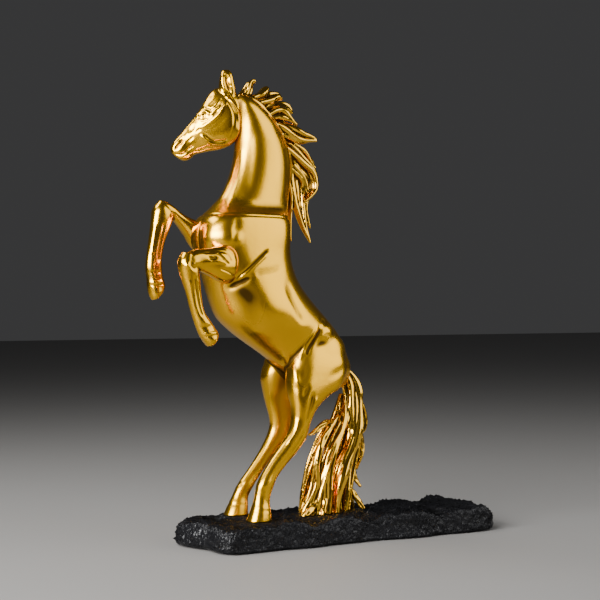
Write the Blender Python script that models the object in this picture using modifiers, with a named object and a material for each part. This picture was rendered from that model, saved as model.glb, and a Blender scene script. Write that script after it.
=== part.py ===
"""Rearing horse statuette: hollow brass castings pinned together, standing on hind hooves and tail
on a cast rock plinth.  The horse faces -X, its left side faces -Y, the underside of the pad is z = 0."""
import math

import bpy
import bmesh
import numpy as np
from mathutils import Vector, noise

# driving dimensions, metres
FIGURE_HEIGHT = 0.357    # from the hooves to the tip of the ears
BASE_LENGTH = 0.290
BASE_WIDTH = 0.090
BASE_HEIGHT = 0.022      # table to the top of the plinth, pad included
PAD_THICKNESS = 0.0015
PAD_INSET = 0.004
HOOF_SETBACK = 0.0625    # from the front end of the plinth to the middle of the hind hooves
WALL = 0.0035            # wall of the hollow castings
GAP = 0.0003             # clearance between pieces that touch
PIN_DIAMETER = 0.005
STUD_DIAMETER = 0.004
NUT_FLATS = 0.007
NUT_HEIGHT = 0.0032
WASHER_DIAMETER = 0.009
WASHER_THICKNESS = 0.0008
COUNTERBORE_DEPTH = 0.009
HEAD_TURN = math.radians(26)                     # the head looks this far to its right

DECK = 241                                       # top of the trunk, where the neck stands
HEAD_PIVOT = -12                                 # the head turns about the poll

UNIT = FIGURE_HEIGHT / 357.0                     # the ribs below are written for a figure 357 units tall
HOOF_X = -BASE_LENGTH / 2 + HOOF_SETBACK
GRAIN = 1.5 * UNIT                               # voxel the castings are fused at

# ribs of the castings: front x, z, back x, z, half width, middle y, skew, squareness
# (x from the middle of the hind hooves towards the tail, z from the soles, y outwards on its own side)
TRUNK = [
    (-44, 250, 24, 250, 22, 0, 0.0, 2.5), (-46, 243, 25, 243, 23.5, 0, 0.0, 2.6),
    (-50.5, 234, 26, 234, 25, 0, 0.0, 2.6), (-51, 224, 26, 225, 26, 0, 0.0, 2.5),
    (-48, 208, 27, 212, 26.5, 0, 0.0, 2.4), (-44, 192, 31, 199, 27, 0, 0.0, 2.2),
    (-40, 175, 39, 186, 28, 0, -0.05, 2.1), (-33, 160, 51, 172, 28.5, 0, -0.05, 2.1),
    (-20, 148, 63, 160, 27.5, 0, 0.0, 2.1), (-7, 139, 74, 148, 26, 0, 0.08, 2.1),
    (7, 130, 81, 136, 26.5, 0, 0.1, 2.1), (21, 120, 86, 122, 26, 0, 0.05, 2.0),
    (36, 109, 87, 110, 21, 0, 0.0, 2.0), (50, 101, 83, 102, 12, 0, 0.0, 2.0)]
NECK = [
    (-43, 230, 25, 228, 20, 0, -0.1, 2.2), (-42, 242, 27, 240, 20, 0, -0.1, 2.2),
    (-36.5, 249, 28, 250, 18.5, 0, -0.1, 2.2), (-31, 256, 29.5, 257, 17, 0, -0.12, 2.1),
    (-24.5, 268, 31.5, 272, 15.5, 0, -0.15, 2.1), (-20, 281, 31.5, 289, 14.5, 0, -0.18, 2.1),
    (-17.5, 293, 27, 303, 13.5, 0, -0.2, 2.1), (-16.5, 305, 19, 316, 12.5, 0, -0.2, 2.1),
    (-17, 317, 8, 327, 11.5, 0, -0.2, 2.1), (-19, 327, -3, 335, 10, 0, -0.1, 2.1),
    (-20, 333, -11, 339, 6, 0, 0.0, 2.0)]
HEAD = [                  # in the head's own plane, x counted from the pivot of the poll
    (-6, 341, 2, 328, 5, 0, 0.0, 2.0), (-11, 343, 1, 322, 8.5, 0, 0.0, 2.2),
    (-18, 343.5, -1, 312, 11, 0, 0.0, 2.4), (-24.5, 340.5, -3, 304, 11.8, 0, 0.0, 2.6),
    (-29.5, 333.5, -9, 297.5, 11.6, 0, -0.06, 2.6), (-34.5, 325, -17.5, 294, 10.3, 0, -0.12, 2.5),
    (-39.5, 317.5, -26, 292.5, 8.8, 0, -0.15, 2.4), (-44.5, 311.5, -33, 291, 7.4, 0, -0.12, 2.3),
    (-50, 305.5, -38, 289.5, 6.8, 0, -0.05, 2.2), (-54.3, 300.5, -41, 286.5, 6.9, 0, -0.05, 2.2),
    (-57, 296, -45.5, 284.7, 6.2, 0, 0.0, 2.2), (-56.8, 292, -50, 285.8, 4.6, 0, 0.0, 2.1),
    (-55.5, 290, -53, 288, 2.2, 0, 0.0, 2.0)]
EAR = [
    (-19.5, 335, -6, 334, 3.4, 6.2, 0.0, 2.0), (-18.6, 341, -5.5, 341, 4.0, 6.8, 0.0, 2.0),
    (-18.4, 346.5, -6.6, 347, 4.0, 7.2, 0.0, 2.1), (-17.9, 351, -7.6, 351.5, 3.6, 7.4, 0.0, 2.2),
    (-16.9, 354.6, -9.0, 354.9, 2.6, 7.5, 0.0, 2.2), (-15.2, 356.6, -10.8, 356.7, 1.4, 7.5, 0.0, 2.1)]
LEFT_HIND = [
    (34, 146, 68, 138, 8, 15, 0.0, 2.2), (23, 128, 74, 120, 12, 15.5, 0.0, 2.2),
    (20, 113, 69, 104, 12.5, 17, 0.0, 2.2), (21, 100, 56, 96, 10.5, 19, 0.0, 2.1),
    (22.5, 88, 44.5, 86, 8.5, 20, 0.0, 2.1), (22, 77, 38.5, 75, 7, 20.5, 0.0, 2.1),
    (18.5, 68, 34.5, 64.5, 6.3, 21, 0.0, 2.2), (11.5, 58.5, 26.5, 53, 5.5, 21, 0.0, 2.2),
    (3, 48.5, 16, 42.5, 4.9, 21, 0.0, 2.2), (-4.5, 38.5, 8.5, 34, 4.9, 21, 0.0, 2.2),
    (-9.5, 29.5, 4.2, 27, 5.6, 21, 0.0, 2.2), (-12, 20, 1.5, 18, 5.2, 21, 0.0, 2.1),
    (-14, 12, 1, 11, 6.2, 21, 0.0, 2.1), (-16.5, 5, 1.5, 4, 7.6, 21, 0.0, 2.2),
    (-18, 0, 2, 0, 8.2, 21, 0.0, 2.3), (-19, -5, 2, -5, 8.4, 21, 0.0, 2.3)]
RIGHT_HIND = [
    (30, 142, 66, 134, 8, 14, 0.0, 2.2), (17, 127, 72, 117, 12, 15, 0.0, 2.2),
    (15.5, 113, 64, 105, 12, 17, 0.0, 2.2), (18, 101, 49, 97, 10, 19, 0.0, 2.1),
    (22, 88, 42, 85, 8, 20, 0.0, 2.1), (25.5, 76, 41, 73, 6.8, 20.5, 0.0, 2.1),
    (25, 67, 39, 62, 6.2, 21, 0.0, 2.2), (18.5, 54, 31, 49, 5.5, 21, 0.0, 2.2),
    (10, 42, 21.5, 37.5, 4.9, 21, 0.0, 2.2), (2, 32, 14, 28, 4.9, 21, 0.0, 2.2),
    (-4, 24.5, 9, 21.5, 5.6, 21, 0.0, 2.2), (-8, 17, 5.5, 15, 5.2, 21, 0.0, 2.1),
    (-11.5, 10.5, 4, 9.5, 6.2, 21, 0.0, 2.1), (-14.5, 4.5, 3.5, 4, 7.6, 21, 0.0, 2.2),
    (-16, 0, 4, 0, 8.2, 21, 0.0, 2.3), (-17, -5, 4, -5, 8.4, 21, 0.0, 2.3)]
LEFT_ARM = [
    (-29, 218, -28, 191, 8.5, 17.5, 0.0, 2.2), (-33, 218.5, -32, 187, 10, 19, 0.0, 2.3),
    (-39, 217.5, -38, 186.5, 9.6, 20.3, 0.0, 2.2), (-47, 215.5, -45, 188.5, 8.4, 21.5, 0.0, 2.2),
    (-56, 213.8, -54, 193, 7.2, 22, 0.0, 2.2), (-65, 212.8, -62, 196, 6.8, 22, 0.0, 2.2),
    (-73, 209.5, -68, 196, 6.6, 22, 0.0, 2.2), (-78, 205, -74, 199, 4, 22, 0.0, 2.0)]
LEFT_CANNON = [
    (-76, 210.5, -66, 208, 5.5, 22, 0.0, 2.1), (-78.8, 203, -63.5, 199, 6.9, 22, 0.0, 2.2),
    (-77, 193, -61.5, 189, 6.2, 22, 0.0, 2.2), (-73.5, 181, -60.3, 178, 5.2, 22, 0.0, 2.2),
    (-69.8, 168, -57.8, 165.5, 4.8, 22, 0.0, 2.2), (-66, 158, -52.8, 157, 5.4, 22, 0.0, 2.2),
    (-63.2, 151, -48, 152, 5.5, 22, 0.0, 2.2), (-60, 145, -46.2, 147, 6.2, 22, 0.0, 2.2),
    (-56.5, 140.5, -47.5, 142.5, 6.4, 22, 0.0, 2.2), (-54, 138, -49.5, 139.2, 4.5, 22, 0.0, 2.0)]
RIGHT_ARM = [
    (-28, 232, -22, 200, 9, 15, 0.0, 2.2), (-40, 236, -35, 205, 9.5, 18, 0.0, 2.2),
    (-50, 240, -47, 216, 8, 20, 0.0, 2.2), (-57.5, 244.5, -54, 227.5, 7, 21.5, 0.0, 2.2),
    (-65, 250, -61.5, 236.5, 6.6, 22, 0.0, 2.2), (-72, 252.5, -68, 240, 6.2, 22, 0.0, 2.2),
    (-76, 251, -73.5, 244, 4, 22, 0.0, 2.0)]
RIGHT_CANNON = [
    (-74.5, 252.5, -66, 249, 5.2, 22, 0.0, 2.1), (-79.3, 246, -63, 240, 6.6, 22, 0.0, 2.2),
    (-81.3, 235, -66, 230, 6.0, 22, 0.0, 2.2), (-83.2, 223, -70, 220, 5.1, 22, 0.0, 2.2),
    (-85.3, 210, -72.5, 208.5, 4.7, 22, 0.0, 2.2), (-86, 200, -73, 199.5, 4.9, 22, 0.0, 2.2),
    (-85.3, 191, -71.3, 191, 5.5, 22, 0.0, 2.2), (-84.3, 184, -70.3, 185.5, 5.8, 22, 0.0, 2.2),
    (-82.7, 178, -72.3, 180, 5.8, 22, 0.0, 2.2), (-80.5, 173.7, -75.5, 176, 4.2, 22, 0.0, 2.0)]

# edge of the plinth going round, in halves of its length and width
EDGE = [(0.94, -0.73), (0.955, -0.3), (0.945, 0.2), (0.93, 0.62), (0.85, 0.88), (0.68, 0.95), (0.46, 0.9),
        (0.27, 0.87), (0.08, 0.9), (-0.11, 0.97), (-0.34, 0.88), (-0.5, 0.9), (-0.65, 0.95), (-0.84, 0.86),
        (-0.96, 0.78), (-1.0, 0.45), (-0.985, 0.1), (-0.94, -0.3), (-0.945, -0.65), (-0.9, -0.95),
        (-0.78, -0.98), (-0.58, -0.94), (-0.4, -1.0), (-0.26, -0.93), (-0.08, -0.92), (0.08, -0.89), (0.22, -0.97),
        (0.38, -1.0), (0.5, -0.93), (0.66, -0.96), (0.81, -0.94), (0.905, -0.87)]

# locks of hair: width, thickness, then the path x, y (left is negative), z from root to tip
MANE = [
    (7, 5, [(-12, 2, 333), (-7, 2, 341), (-2.5, 1, 348), (1, 0, 350)]),
    (7, 5, [(-6, 3, 331), (4.5, 3, 339), (10.5, 2, 344), (13.5, 1, 345)]),
    (9, 6, [(0, 3, 328), (12, 4, 335), (21.5, 4, 339), (27, 3, 337)]),
    (9, 5, [(6, 4, 325), (22, 6, 331), (33, 7, 332), (40, 8, 327)]),
    (9, 6, [(8, 2, 322), (22, 1, 326), (31, -1, 322), (38, -3, 317)]),
    (13, 8, [(15, 3, 315), (29, 2, 312), (41, -1, 308), (50, -3, 306), (56, -4, 304)]),
    (8, 5, [(24, 5, 306), (39, 7, 300), (50, 8, 295), (57, 8, 289), (62, 8, 283)]),
    (12, 7, [(24, 4, 305), (36, 5, 296), (47, 6, 286), (56, 6, 277), (58, 5, 266), (52, 4, 258),
             (47, 3, 254)]),
    (8, 6, [(38, 7, 284), (50, 9, 274), (53, 10, 262), (52, 9, 248), (56, 7, 233)]),
    (15, 7, [(29, 4, 300), (38, 8, 287), (43, 10, 271), (46, 10, 254), (50, 8, 236), (55, 5, 221)]),
    (5, 4, [(32, 6, 280), (37, 8, 262), (37, 9, 245), (37, 8, 231), (38, 7, 222)]),
    (10, 8, [(-14, 1, 336), (3, 2, 328), (17, 3, 316), (27, 3, 305), (32, 4, 290), (36, 6, 276)])]
TAIL = [
    (11, 9, [(80, 0, 118), (88, 0, 112), (92, -3, 101), (92, -6, 87), (90, -8, 70), (84, -10, 54),
             (75, -11, 38), (69, -12, 20), (67, -13, -4)], 0.7),
    (11, 9, [(82, 0, 112), (86, -2, 93), (83, -4, 79), (75, -8, 67), (64, -12, 50), (56, -13, 31),
             (52, -13, 16), (50, -14, -4)], 0.8),
    (11, 9, [(78, -3, 79), (66, -7, 69), (56, -11, 56), (51, -12, 40), (49, -12, 22), (41, -12, 6),
             (36, -12, -4)], 0.7),
    (6, 5, [(72, -6, 74), (62, -9, 74), (54, -12, 71), (46, -15, 67), (40, -17, 65)], 0.3),
    (12, 9, [(84, 3, 116), (92, 3, 108), (98, 3, 92), (99, 3, 73), (97, 2, 52), (91, 0, 32), (86, -3, 16),
             (83, -5, -4)], 0.7),
    (7, 7, [(96, 4, 98), (104, 6, 88), (108, 6, 77), (107, 5, 66), (101, 4, 60)], 0.4),
    (8, 7, [(99, 5, 76), (105, 7, 60), (105, 6, 46), (99, 4, 32)], 0.4),
    (7, 6, [(95, 2, 50), (94, 2, 34), (95, 0, 26), (100, -2, 18)], 0.3),
    (10, 9, [(96, 4, 62), (97, 7, 42), (94, 8, 24), (94, 9, 10), (99, 9, -4)], 0.7),
    (11, 9, [(84, 3, 112), (94, 8, 92), (94, 11, 69), (85, 12, 48), (76, 13, 28), (70, 13, -4)], 0.8),
    (10, 9, [(80, 2, 80), (69, 4, 66), (62, 7, 50), (57, 9, 35), (54, 10, 17), (51, 11, -4)], 0.8),
    (11, 9, [(80, -5, 78), (73, -9, 65), (64, -13, 47), (59, -14, 27), (58, -15, -4)], 0.8),
    (18, 16, [(84, 2, 96), (80, 2, 76), (75, 0, 55), (69, -1, 35), (64, -1, 16), (60, 0, -4)], 0.9),
    (16, 14, [(88, 3, 84), (91, 4, 60), (87, 3, 40), (81, 2, 20), (78, 1, -4)], 0.9)]

# lines pressed into (-) or raised on (+) the trunk: depth, half width, mirrored, path x, y, z
FOLDS = [
    (-2.2, 2.0, True, [(-33, -26, 183), (-24, -27, 193), (-12, -27, 206), (-3, -26, 214), (5, -25, 223)]),
    (1.6, 3.0, True, [(-34, -26, 190), (-23, -28, 201), (-11, -28, 213)]),
    (-2.5, 3.0, True, [(14, -24, 122), (24, -26, 126), (32, -28, 137)]),
    (1.8, 2.2, True, [(28, -28, 128), (33, -28, 134), (38, -28, 139)]),
    (-2.0, 2.2, True, [(46, -28, 134), (54, -28, 144), (61, -27, 154)]),
    (-1.6, 3.0, True, [(22, -22, 110), (28, -24, 118), (31, -26, 126)])]
HEAD_FOLDS = [             # in the head's own plane
    (-0.9, 1.6, True, [(-26, -12, 316), (-25, -12, 304), (-19, -12, 298), (-11, -12, 298)]),
    (0.9, 1.5, True, [(-32, -11, 317), (-23, -12.5, 326), (-16, -11, 335)]),
    (-1.2, 1.6, True, [(-54, -5, 295), (-49, -6.5, 301)]),
    (-0.9, 1.2, True, [(-54, -5, 290), (-47, -7, 290), (-41, -8, 295)]),
    (-1.2, 1.6, True, [(-34, -11, 319), (-30, -11.5, 321)])]

# where the hooves and the tail stand: x, y and how far the flat reaches
FEET = [(-7, -21, 13), (-5, 21, 13), (46, -8, 18), (64, 0, 22), (88, 3, 18)]


def place(points):
    """figure units to metres on the plinth"""
    p = np.array(points, float).reshape(-1, 3) * UNIT
    return p + np.array([HOOF_X, 0.0, BASE_HEIGHT])


def spline(rows, steps):
    """smooth curve through every row of numbers"""
    r = np.array(rows, float)
    p = np.vstack([2 * r[0] - r[1], r, 2 * r[-1] - r[-2]])
    out = []
    for a, b, c, d in zip(p[:-3], p[1:-2], p[2:-1], p[3:]):
        for t in np.arange(steps) / steps:
            out.append(0.5 * (2 * b + (c - a) * t + (2 * a - 5 * b + 4 * c - d) * t**2
                              + (3 * b - a - 3 * c + d) * t**3))
    return np.array(out + [r[-1]])


def tube(rings):
    """closed shell over a stack of rings: vertices and faces"""
    rings = np.array(rings)
    count, sides = rings.shape[:2]
    faces = [tuple(range(sides))[::-1], tuple(range((count - 1) * sides, count * sides))]
    for i in range(count - 1):
        for k in range(sides):
            a, b = i * sides + k, i * sides + (k + 1) % sides
            faces.append((a, b, b + sides, a + sides))
    return rings.reshape(-1, 3), faces


def rib_shell(ribs, side=1, grow=0.0, sides=32, steps=3):
    """shell through ribs, in figure units; grow pushes the skin out (or in) all round"""
    turn = np.arange(sides) * 2 * math.pi / sides
    rings = []
    for fx, fz, bx, bz, half, y, skew, power in spline(ribs, steps):
        c, s = np.cos(turn), np.sin(turn)
        c, s = np.sign(c) * np.abs(c)**(2 / power), np.sign(s) * np.abs(s)**(2 / power)
        long = math.hypot(bx - fx, bz - fz) / 2
        stretch = max(long + grow, 0.3) / long
        mx, mz, hx, hz = (fx + bx) / 2, (fz + bz) / 2, (bx - fx) / 2 * stretch, (bz - fz) / 2 * stretch
        wide = max(half + grow, 0.3)
        rings.append(np.stack([mx + hx * c, side * (y + wide * s * (1 + skew * c)), mz + hz * c], 1))
    return tube(rings)


def lock_shell(width, thick, path, tip=0.16, sides=12, steps=3):
    """a lock of hair: full at the root, swelling, then drawn out to its tip"""
    line = spline(path, steps)
    turn = np.arange(sides) * 2 * math.pi / sides
    rings = []
    for i, point in enumerate(line):
        t = i / (len(line) - 1)
        ahead = line[min(i + 1, len(line) - 1)] - line[max(i - 1, 0)]
        ahead /= np.linalg.norm(ahead)
        flat = np.cross([0, 1, 0], ahead)
        flat /= np.linalg.norm(flat)
        out = np.cross(ahead, flat)
        full = min(0.75 + 0.9 * t, 1.0, tip + 1.55 * (1 - t)) / 2
        rings.append(point + np.outer(np.cos(turn) * width * full, flat)
                     + np.outer(np.sin(turn) * thick * full, out))
    return tube(rings)


def mesh_from(name, shells):
    """one mesh holding every shell, normals outwards"""
    mesh = bpy.data.meshes.new(name)
    verts, faces, start = [], [], 0
    for v, f in shells:
        verts += [tuple(p) for p in place(v)]
        faces += [tuple(i + start for i in face) for face in f]
        start += len(v)
    mesh.from_pydata(verts, [], faces)
    work = bmesh.new()
    work.from_mesh(mesh)
    bmesh.ops.recalc_face_normals(work, faces=work.faces)
    work.to_mesh(mesh)
    work.free()
    return mesh


def new_object(name, mesh, home):
    thing = bpy.data.objects.new(name, mesh)
    home.objects.link(thing)
    return thing


def bake(thing):
    """replace the mesh by what the modifiers make of it"""
    graph = bpy.context.evaluated_depsgraph_get()
    mesh = bpy.data.meshes.new_from_object(thing.evaluated_get(graph))
    thing.modifiers.clear()
    thing.data = mesh
    return thing


def press_folds(thing, folds):
    """move the skin along its normals near each fold line"""
    mesh = thing.data
    points = np.empty(len(mesh.vertices) * 3)
    mesh.vertices.foreach_get("co", points)
    points = points.reshape(-1, 3)
    normals = np.array([v.normal[:] for v in mesh.vertices])
    shift = np.zeros(len(points))
    for depth, width, mirrored, path in folds:
        for side in (1, -1) if mirrored else (1,):
            line = place(spline([(x, y * side, z) for x, y, z in path], 10))
            near = np.min([np.linalg.norm(points - p, axis=1) for p in line], axis=0)
            shift += depth * UNIT * np.exp(-(near / (width * UNIT))**2)
    mesh.vertices.foreach_set("co", (points + normals * shift[:, None]).ravel())
    mesh.update()


def fuse(name, shells, home, faces, folds=(), grain=GRAIN, smooth=8):
    """one skin over overlapping shells, smoothed and thinned to a face count"""
    thing = new_object(name, mesh_from(name, shells), home)
    skin = thing.modifiers.new("skin", "REMESH")
    skin.mode, skin.voxel_size = "VOXEL", grain
    even = thing.modifiers.new("smooth", "SMOOTH")
    even.factor, even.iterations = 0.5, smooth
    bake(thing)
    press_folds(thing, folds)
    thin = thing.modifiers.new("thin", "DECIMATE")
    thin.ratio = min(1.0, faces / (2 * len(thing.data.polygons)))
    bake(thing)
    for face in thing.data.polygons:
        face.use_smooth = True
    return thing


def as_cutter(thing):
    thing.display_type, thing.hide_render = "WIRE", True
    return thing


def outgrown(thing, home, by=GAP):
    """a copy grown by the clearance, used to cut what fits against it"""
    copy = new_object(thing.name + ".room", thing.data.copy(), home)
    for m in thing.modifiers:
        twin = copy.modifiers.new(m.name, m.type)
        twin.operation, twin.solver, twin.object = m.operation, m.solver, m.object
    push = copy.modifiers.new("room", "DISPLACE")
    push.strength, push.mid_level = by, 0.0
    return as_cutter(copy)


def combine(thing, other, operation="DIFFERENCE"):
    join = thing.modifiers.new(operation.lower() + " " + other.name, "BOOLEAN")
    join.operation, join.solver, join.object = operation, "EXACT", other


def rod(name, start, end, radius, home, sides=24):
    """cylinder between two points given in metres"""
    start, end = Vector(start), Vector(end)
    turn = (end - start).to_track_quat("Z", "Y")
    rings = []
    for middle in (start, end):
        rings.append([middle + turn @ Vector((math.cos(a) * radius, math.sin(a) * radius, 0))
                      for a in np.arange(sides) * 2 * math.pi / sides])
    mesh = bpy.data.meshes.new(name)
    verts, faces = tube(rings)
    mesh.from_pydata([tuple(v) for v in verts], [], faces)
    return new_object(name, mesh, home)


def pin(name, start, end, pieces, parts, cutters):
    """a pin across a joint, with a clearance hole in each piece it crosses"""
    start, end = place([start])[0], place([end])[0]
    along = (end - start) / np.linalg.norm(end - start)
    body = rod(name, start, end, PIN_DIAMETER / 2, parts)
    hole = as_cutter(rod(name + ".hole", start - along * GAP, end + along * GAP, PIN_DIAMETER / 2 + GAP,
                         cutters))
    for piece in pieces:
        combine(piece, hole)
    return body


def block(name, low, high, home):
    """box between two corners given in metres"""
    mesh = bpy.data.meshes.new(name)
    (x0, y0, z0), (x1, y1, z1) = low, high
    corners = [(x0, y0), (x1, y0), (x1, y1), (x0, y1)]
    verts, faces = tube([[(x, y, z) for x, y in corners] for z in (z0, z1)])
    mesh.from_pydata([tuple(v) for v in verts], [], faces)
    return new_object(name, mesh, home)


def cast_trunk(parts, cutters):
    """barrel, quarters and both hind legs in one casting, flat on top where the neck is set in"""
    trunk = fuse("trunk_casting", [rib_shell(TRUNK), rib_shell(LEFT_HIND, -1), rib_shell(RIGHT_HIND, 1)],
                 parts, 3000, FOLDS)
    combine(trunk, floor_block(cutters))
    low, high = place([(-90, -60, DECK), (90, 60, DECK + 60)])
    combine(trunk, as_cutter(block("above_deck", low, high, cutters)))
    return trunk


def inside(name, ribs, wall, home):
    """cutter that follows the ribs a wall's thickness further in"""
    return as_cutter(new_object(name, mesh_from(name, [rib_shell(ribs, 1, -wall / UNIT, 24, 1)]), home))


def hollow_trunk(trunk, cutters):
    """core of the trunk, open at the deck"""
    core = inside("trunk.core", TRUNK[3:10], WALL, cutters)
    throat = [(r[0], z, r[2], z) + tuple(r[4:]) for r in NECK[1:2] for z in (DECK - 22, DECK + 20)]
    mouth = inside("trunk.mouth", throat, WALL - GAP, cutters)
    for cutter in (core, mouth):
        combine(trunk, cutter)


def cast_neck(parts, cutters):
    """neck with a spigot that drops through the deck into the trunk"""
    neck = fuse("neck_casting", [rib_shell(NECK)], parts, 700)
    low, high = place([(-90, -60, DECK - 40), (90, 60, DECK)])
    high[2] += GAP
    combine(neck, as_cutter(block("below_deck", low, high, cutters)))
    ring = NECK[1]
    spigot = [(ring[0], z, ring[2], z) + ring[4:] for z in (DECK - 10, DECK + 4)]
    combine(neck, inside("neck.spigot", spigot, WALL, cutters), "UNION")
    low = [(ring[0], z, ring[2], z) + ring[4:] for z in (DECK - 20, DECK - 5)]
    combine(neck, inside("neck.core", low + NECK[2:6], 2 * WALL, cutters))
    return neck


def turned(points):
    """points in the head's own plane, in figure units, turned to where the head looks"""
    x, y, z = np.array(points, float).reshape(-1, 3).T
    c, s = math.cos(HEAD_TURN), math.sin(HEAD_TURN)
    return np.stack([HEAD_PIVOT + x * c + y * s, y * c - x * s, z], 1)


def cast_head(parts):
    """skull, jaw and ears, looking to its right"""
    shells = [(turned(v), f) for v, f in (rib_shell(HEAD), rib_shell(EAR, -1), rib_shell(EAR, 1))]
    folds = [(depth, width, False, turned([(x, side * y, z) for x, y, z in path]))
             for depth, width, _, path in HEAD_FOLDS for side in (-1, 1)]
    return fuse("head_casting", shells, parts, 1300, folds, GRAIN * 0.6, 5)


def cast_foreleg(name, side, arm, cannon, parts):
    return fuse(name, [rib_shell(arm, side), rib_shell(cannon, side)], parts, 650, (), GRAIN * 0.7, 5)


def cast_hair(name, locks, parts, faces):
    return fuse(name, [lock_shell(*lock) for lock in locks], parts, faces, (), GRAIN * 0.7, 2)


def floor_block(cutters):
    """everything under the soles"""
    if "below_soles" in bpy.data.objects:
        return bpy.data.objects["below_soles"]
    low = place([(-90, -60, -60)])[0]
    high = place([(200, 60, 0)])[0]
    return as_cutter(block("below_soles", low, high, cutters))


def rough(x, y, z, size, amount, seed):
    """lumps of about the given size"""
    return noise.noise(Vector((x / size + seed, y / size, z / size))) * amount


def footing(x, y):
    """1 where a hoof or the tail stands, falling to 0 around it"""
    best = 0.0
    for fx, fy, reach in FEET:
        px, py, _ = place([(fx, fy, 0)])[0]
        far = math.hypot(x - px, y - py) / (reach * UNIT)
        best = max(best, min(1.0, max(0.0, (1.5 - far) / 0.5)))
    return best


def edge_ring(scale, count):
    """the plinth's outline drawn in by a scale, as points x, y in metres"""
    loop = spline(EDGE[-2:] + EDGE + EDGE[:2], 4)[8:-9]
    pick = np.linspace(0, len(loop), count, endpoint=False)
    here, following = loop[pick.astype(int)], loop[(pick.astype(int) + 1) % len(loop)]
    ring = here + (following - here) * (pick % 1)[:, None]
    return ring * scale * np.array([BASE_LENGTH, BASE_WIDTH]) / 2


def make_plinth(parts):
    """rough cast block, flat underneath and under the feet"""
    low, top = PAD_THICKNESS + GAP, BASE_HEIGHT - GAP
    profile = [(0.95, 0.0), (0.985, 0.1), (1.0, 0.35), (0.99, 0.66), (0.96, 0.9), (0.91, 1.0), (0.8, 1.0),
               (0.66, 1.0), (0.5, 1.0), (0.32, 1.0), (0.14, 1.0)]
    rings = []
    for scale, level in profile:
        ring = []
        for x, y in edge_ring(scale, 64):
            if scale > 0.9 and level > 0:
                lump = 1 - abs(rough(x, y, level * 0.02, 0.012, 0.05, 8.7))
                x, y = x * lump, y * lump
            z = low + (top - low) * level
            if level > 0.8:
                drop = 0.0004 + rough(x, y, 0, 0.022, 0.0045, 5.5) + rough(x, y, 0, 0.009, 0.002, 1.9)
                z -= max(drop, -0.0015) * level * (1 - footing(x, y))
            ring.append((x, y, z))
        rings.append(ring)
    mesh = bpy.data.meshes.new("rock_plinth")
    verts, faces = tube(rings)
    mesh.from_pydata([tuple(v) for v in verts], [], faces)
    return new_object("rock_plinth", mesh, parts)


def make_pad(parts):
    shrink = 0.94 - 2 * PAD_INSET / BASE_WIDTH
    rings = [[(x, y, z) for x, y in edge_ring(shrink, 48)] for z in (0.0, PAD_THICKNESS)]
    mesh = bpy.data.meshes.new("felt_pad")
    verts, faces = tube(rings)
    mesh.from_pydata([tuple(v) for v in verts], [], faces)
    return new_object("felt_pad", mesh, parts)


def fasten(label, foot, depth, casting, plinth, parts, cutters):
    """stud up into the casting, held by a washer and nut in a counterbore under the plinth"""
    x, y, sole = place([(foot[0], foot[1], 0)])[0]
    low = PAD_THICKNESS + GAP
    shelf = low + COUNTERBORE_DEPTH
    washer_top = shelf - GAP
    nut_top = washer_top - WASHER_THICKNESS - GAP
    end = sole + depth * UNIT
    foot_end = nut_top - NUT_HEIGHT - 0.001
    bore, room = STUD_DIAMETER / 2 + GAP, WASHER_DIAMETER / 2 + 0.001
    stud = rod(label + "_stud", (x, y, foot_end), (x, y, end), STUD_DIAMETER / 2, parts, 16)
    hole = as_cutter(rod(label + "_stud.hole", (x, y, -0.01), (x, y, end + GAP), bore, cutters, 16))
    sink = as_cutter(rod(label + "_nut.sink", (x, y, -0.01), (x, y, shelf), room, cutters, 20))
    for piece in (casting, plinth):
        combine(piece, hole)
    combine(plinth, sink)
    washer = rod(label + "_washer", (x, y, washer_top - WASHER_THICKNESS), (x, y, washer_top),
                 WASHER_DIAMETER / 2, parts, 20)
    corner = NUT_FLATS / math.sqrt(3)
    nut = rod(label + "_nut", (x, y, nut_top - NUT_HEIGHT), (x, y, nut_top), corner, parts, 6)
    for piece in (washer, nut):
        combine(piece, hole)
    return [stud, washer, nut]


def paint(things, name, colour, metallic, roughness):
    """one Principled material per piece"""
    for thing in things:
        mat = bpy.data.materials.new(name + " " + thing.name)
        mat.use_nodes = True
        shader = mat.node_tree.nodes["Principled BSDF"]
        shader.inputs["Base Color"].default_value = colour
        shader.inputs["Metallic"].default_value = metallic
        shader.inputs["Roughness"].default_value = roughness
        thing.data.materials.clear()
        thing.data.materials.append(mat)


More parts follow.
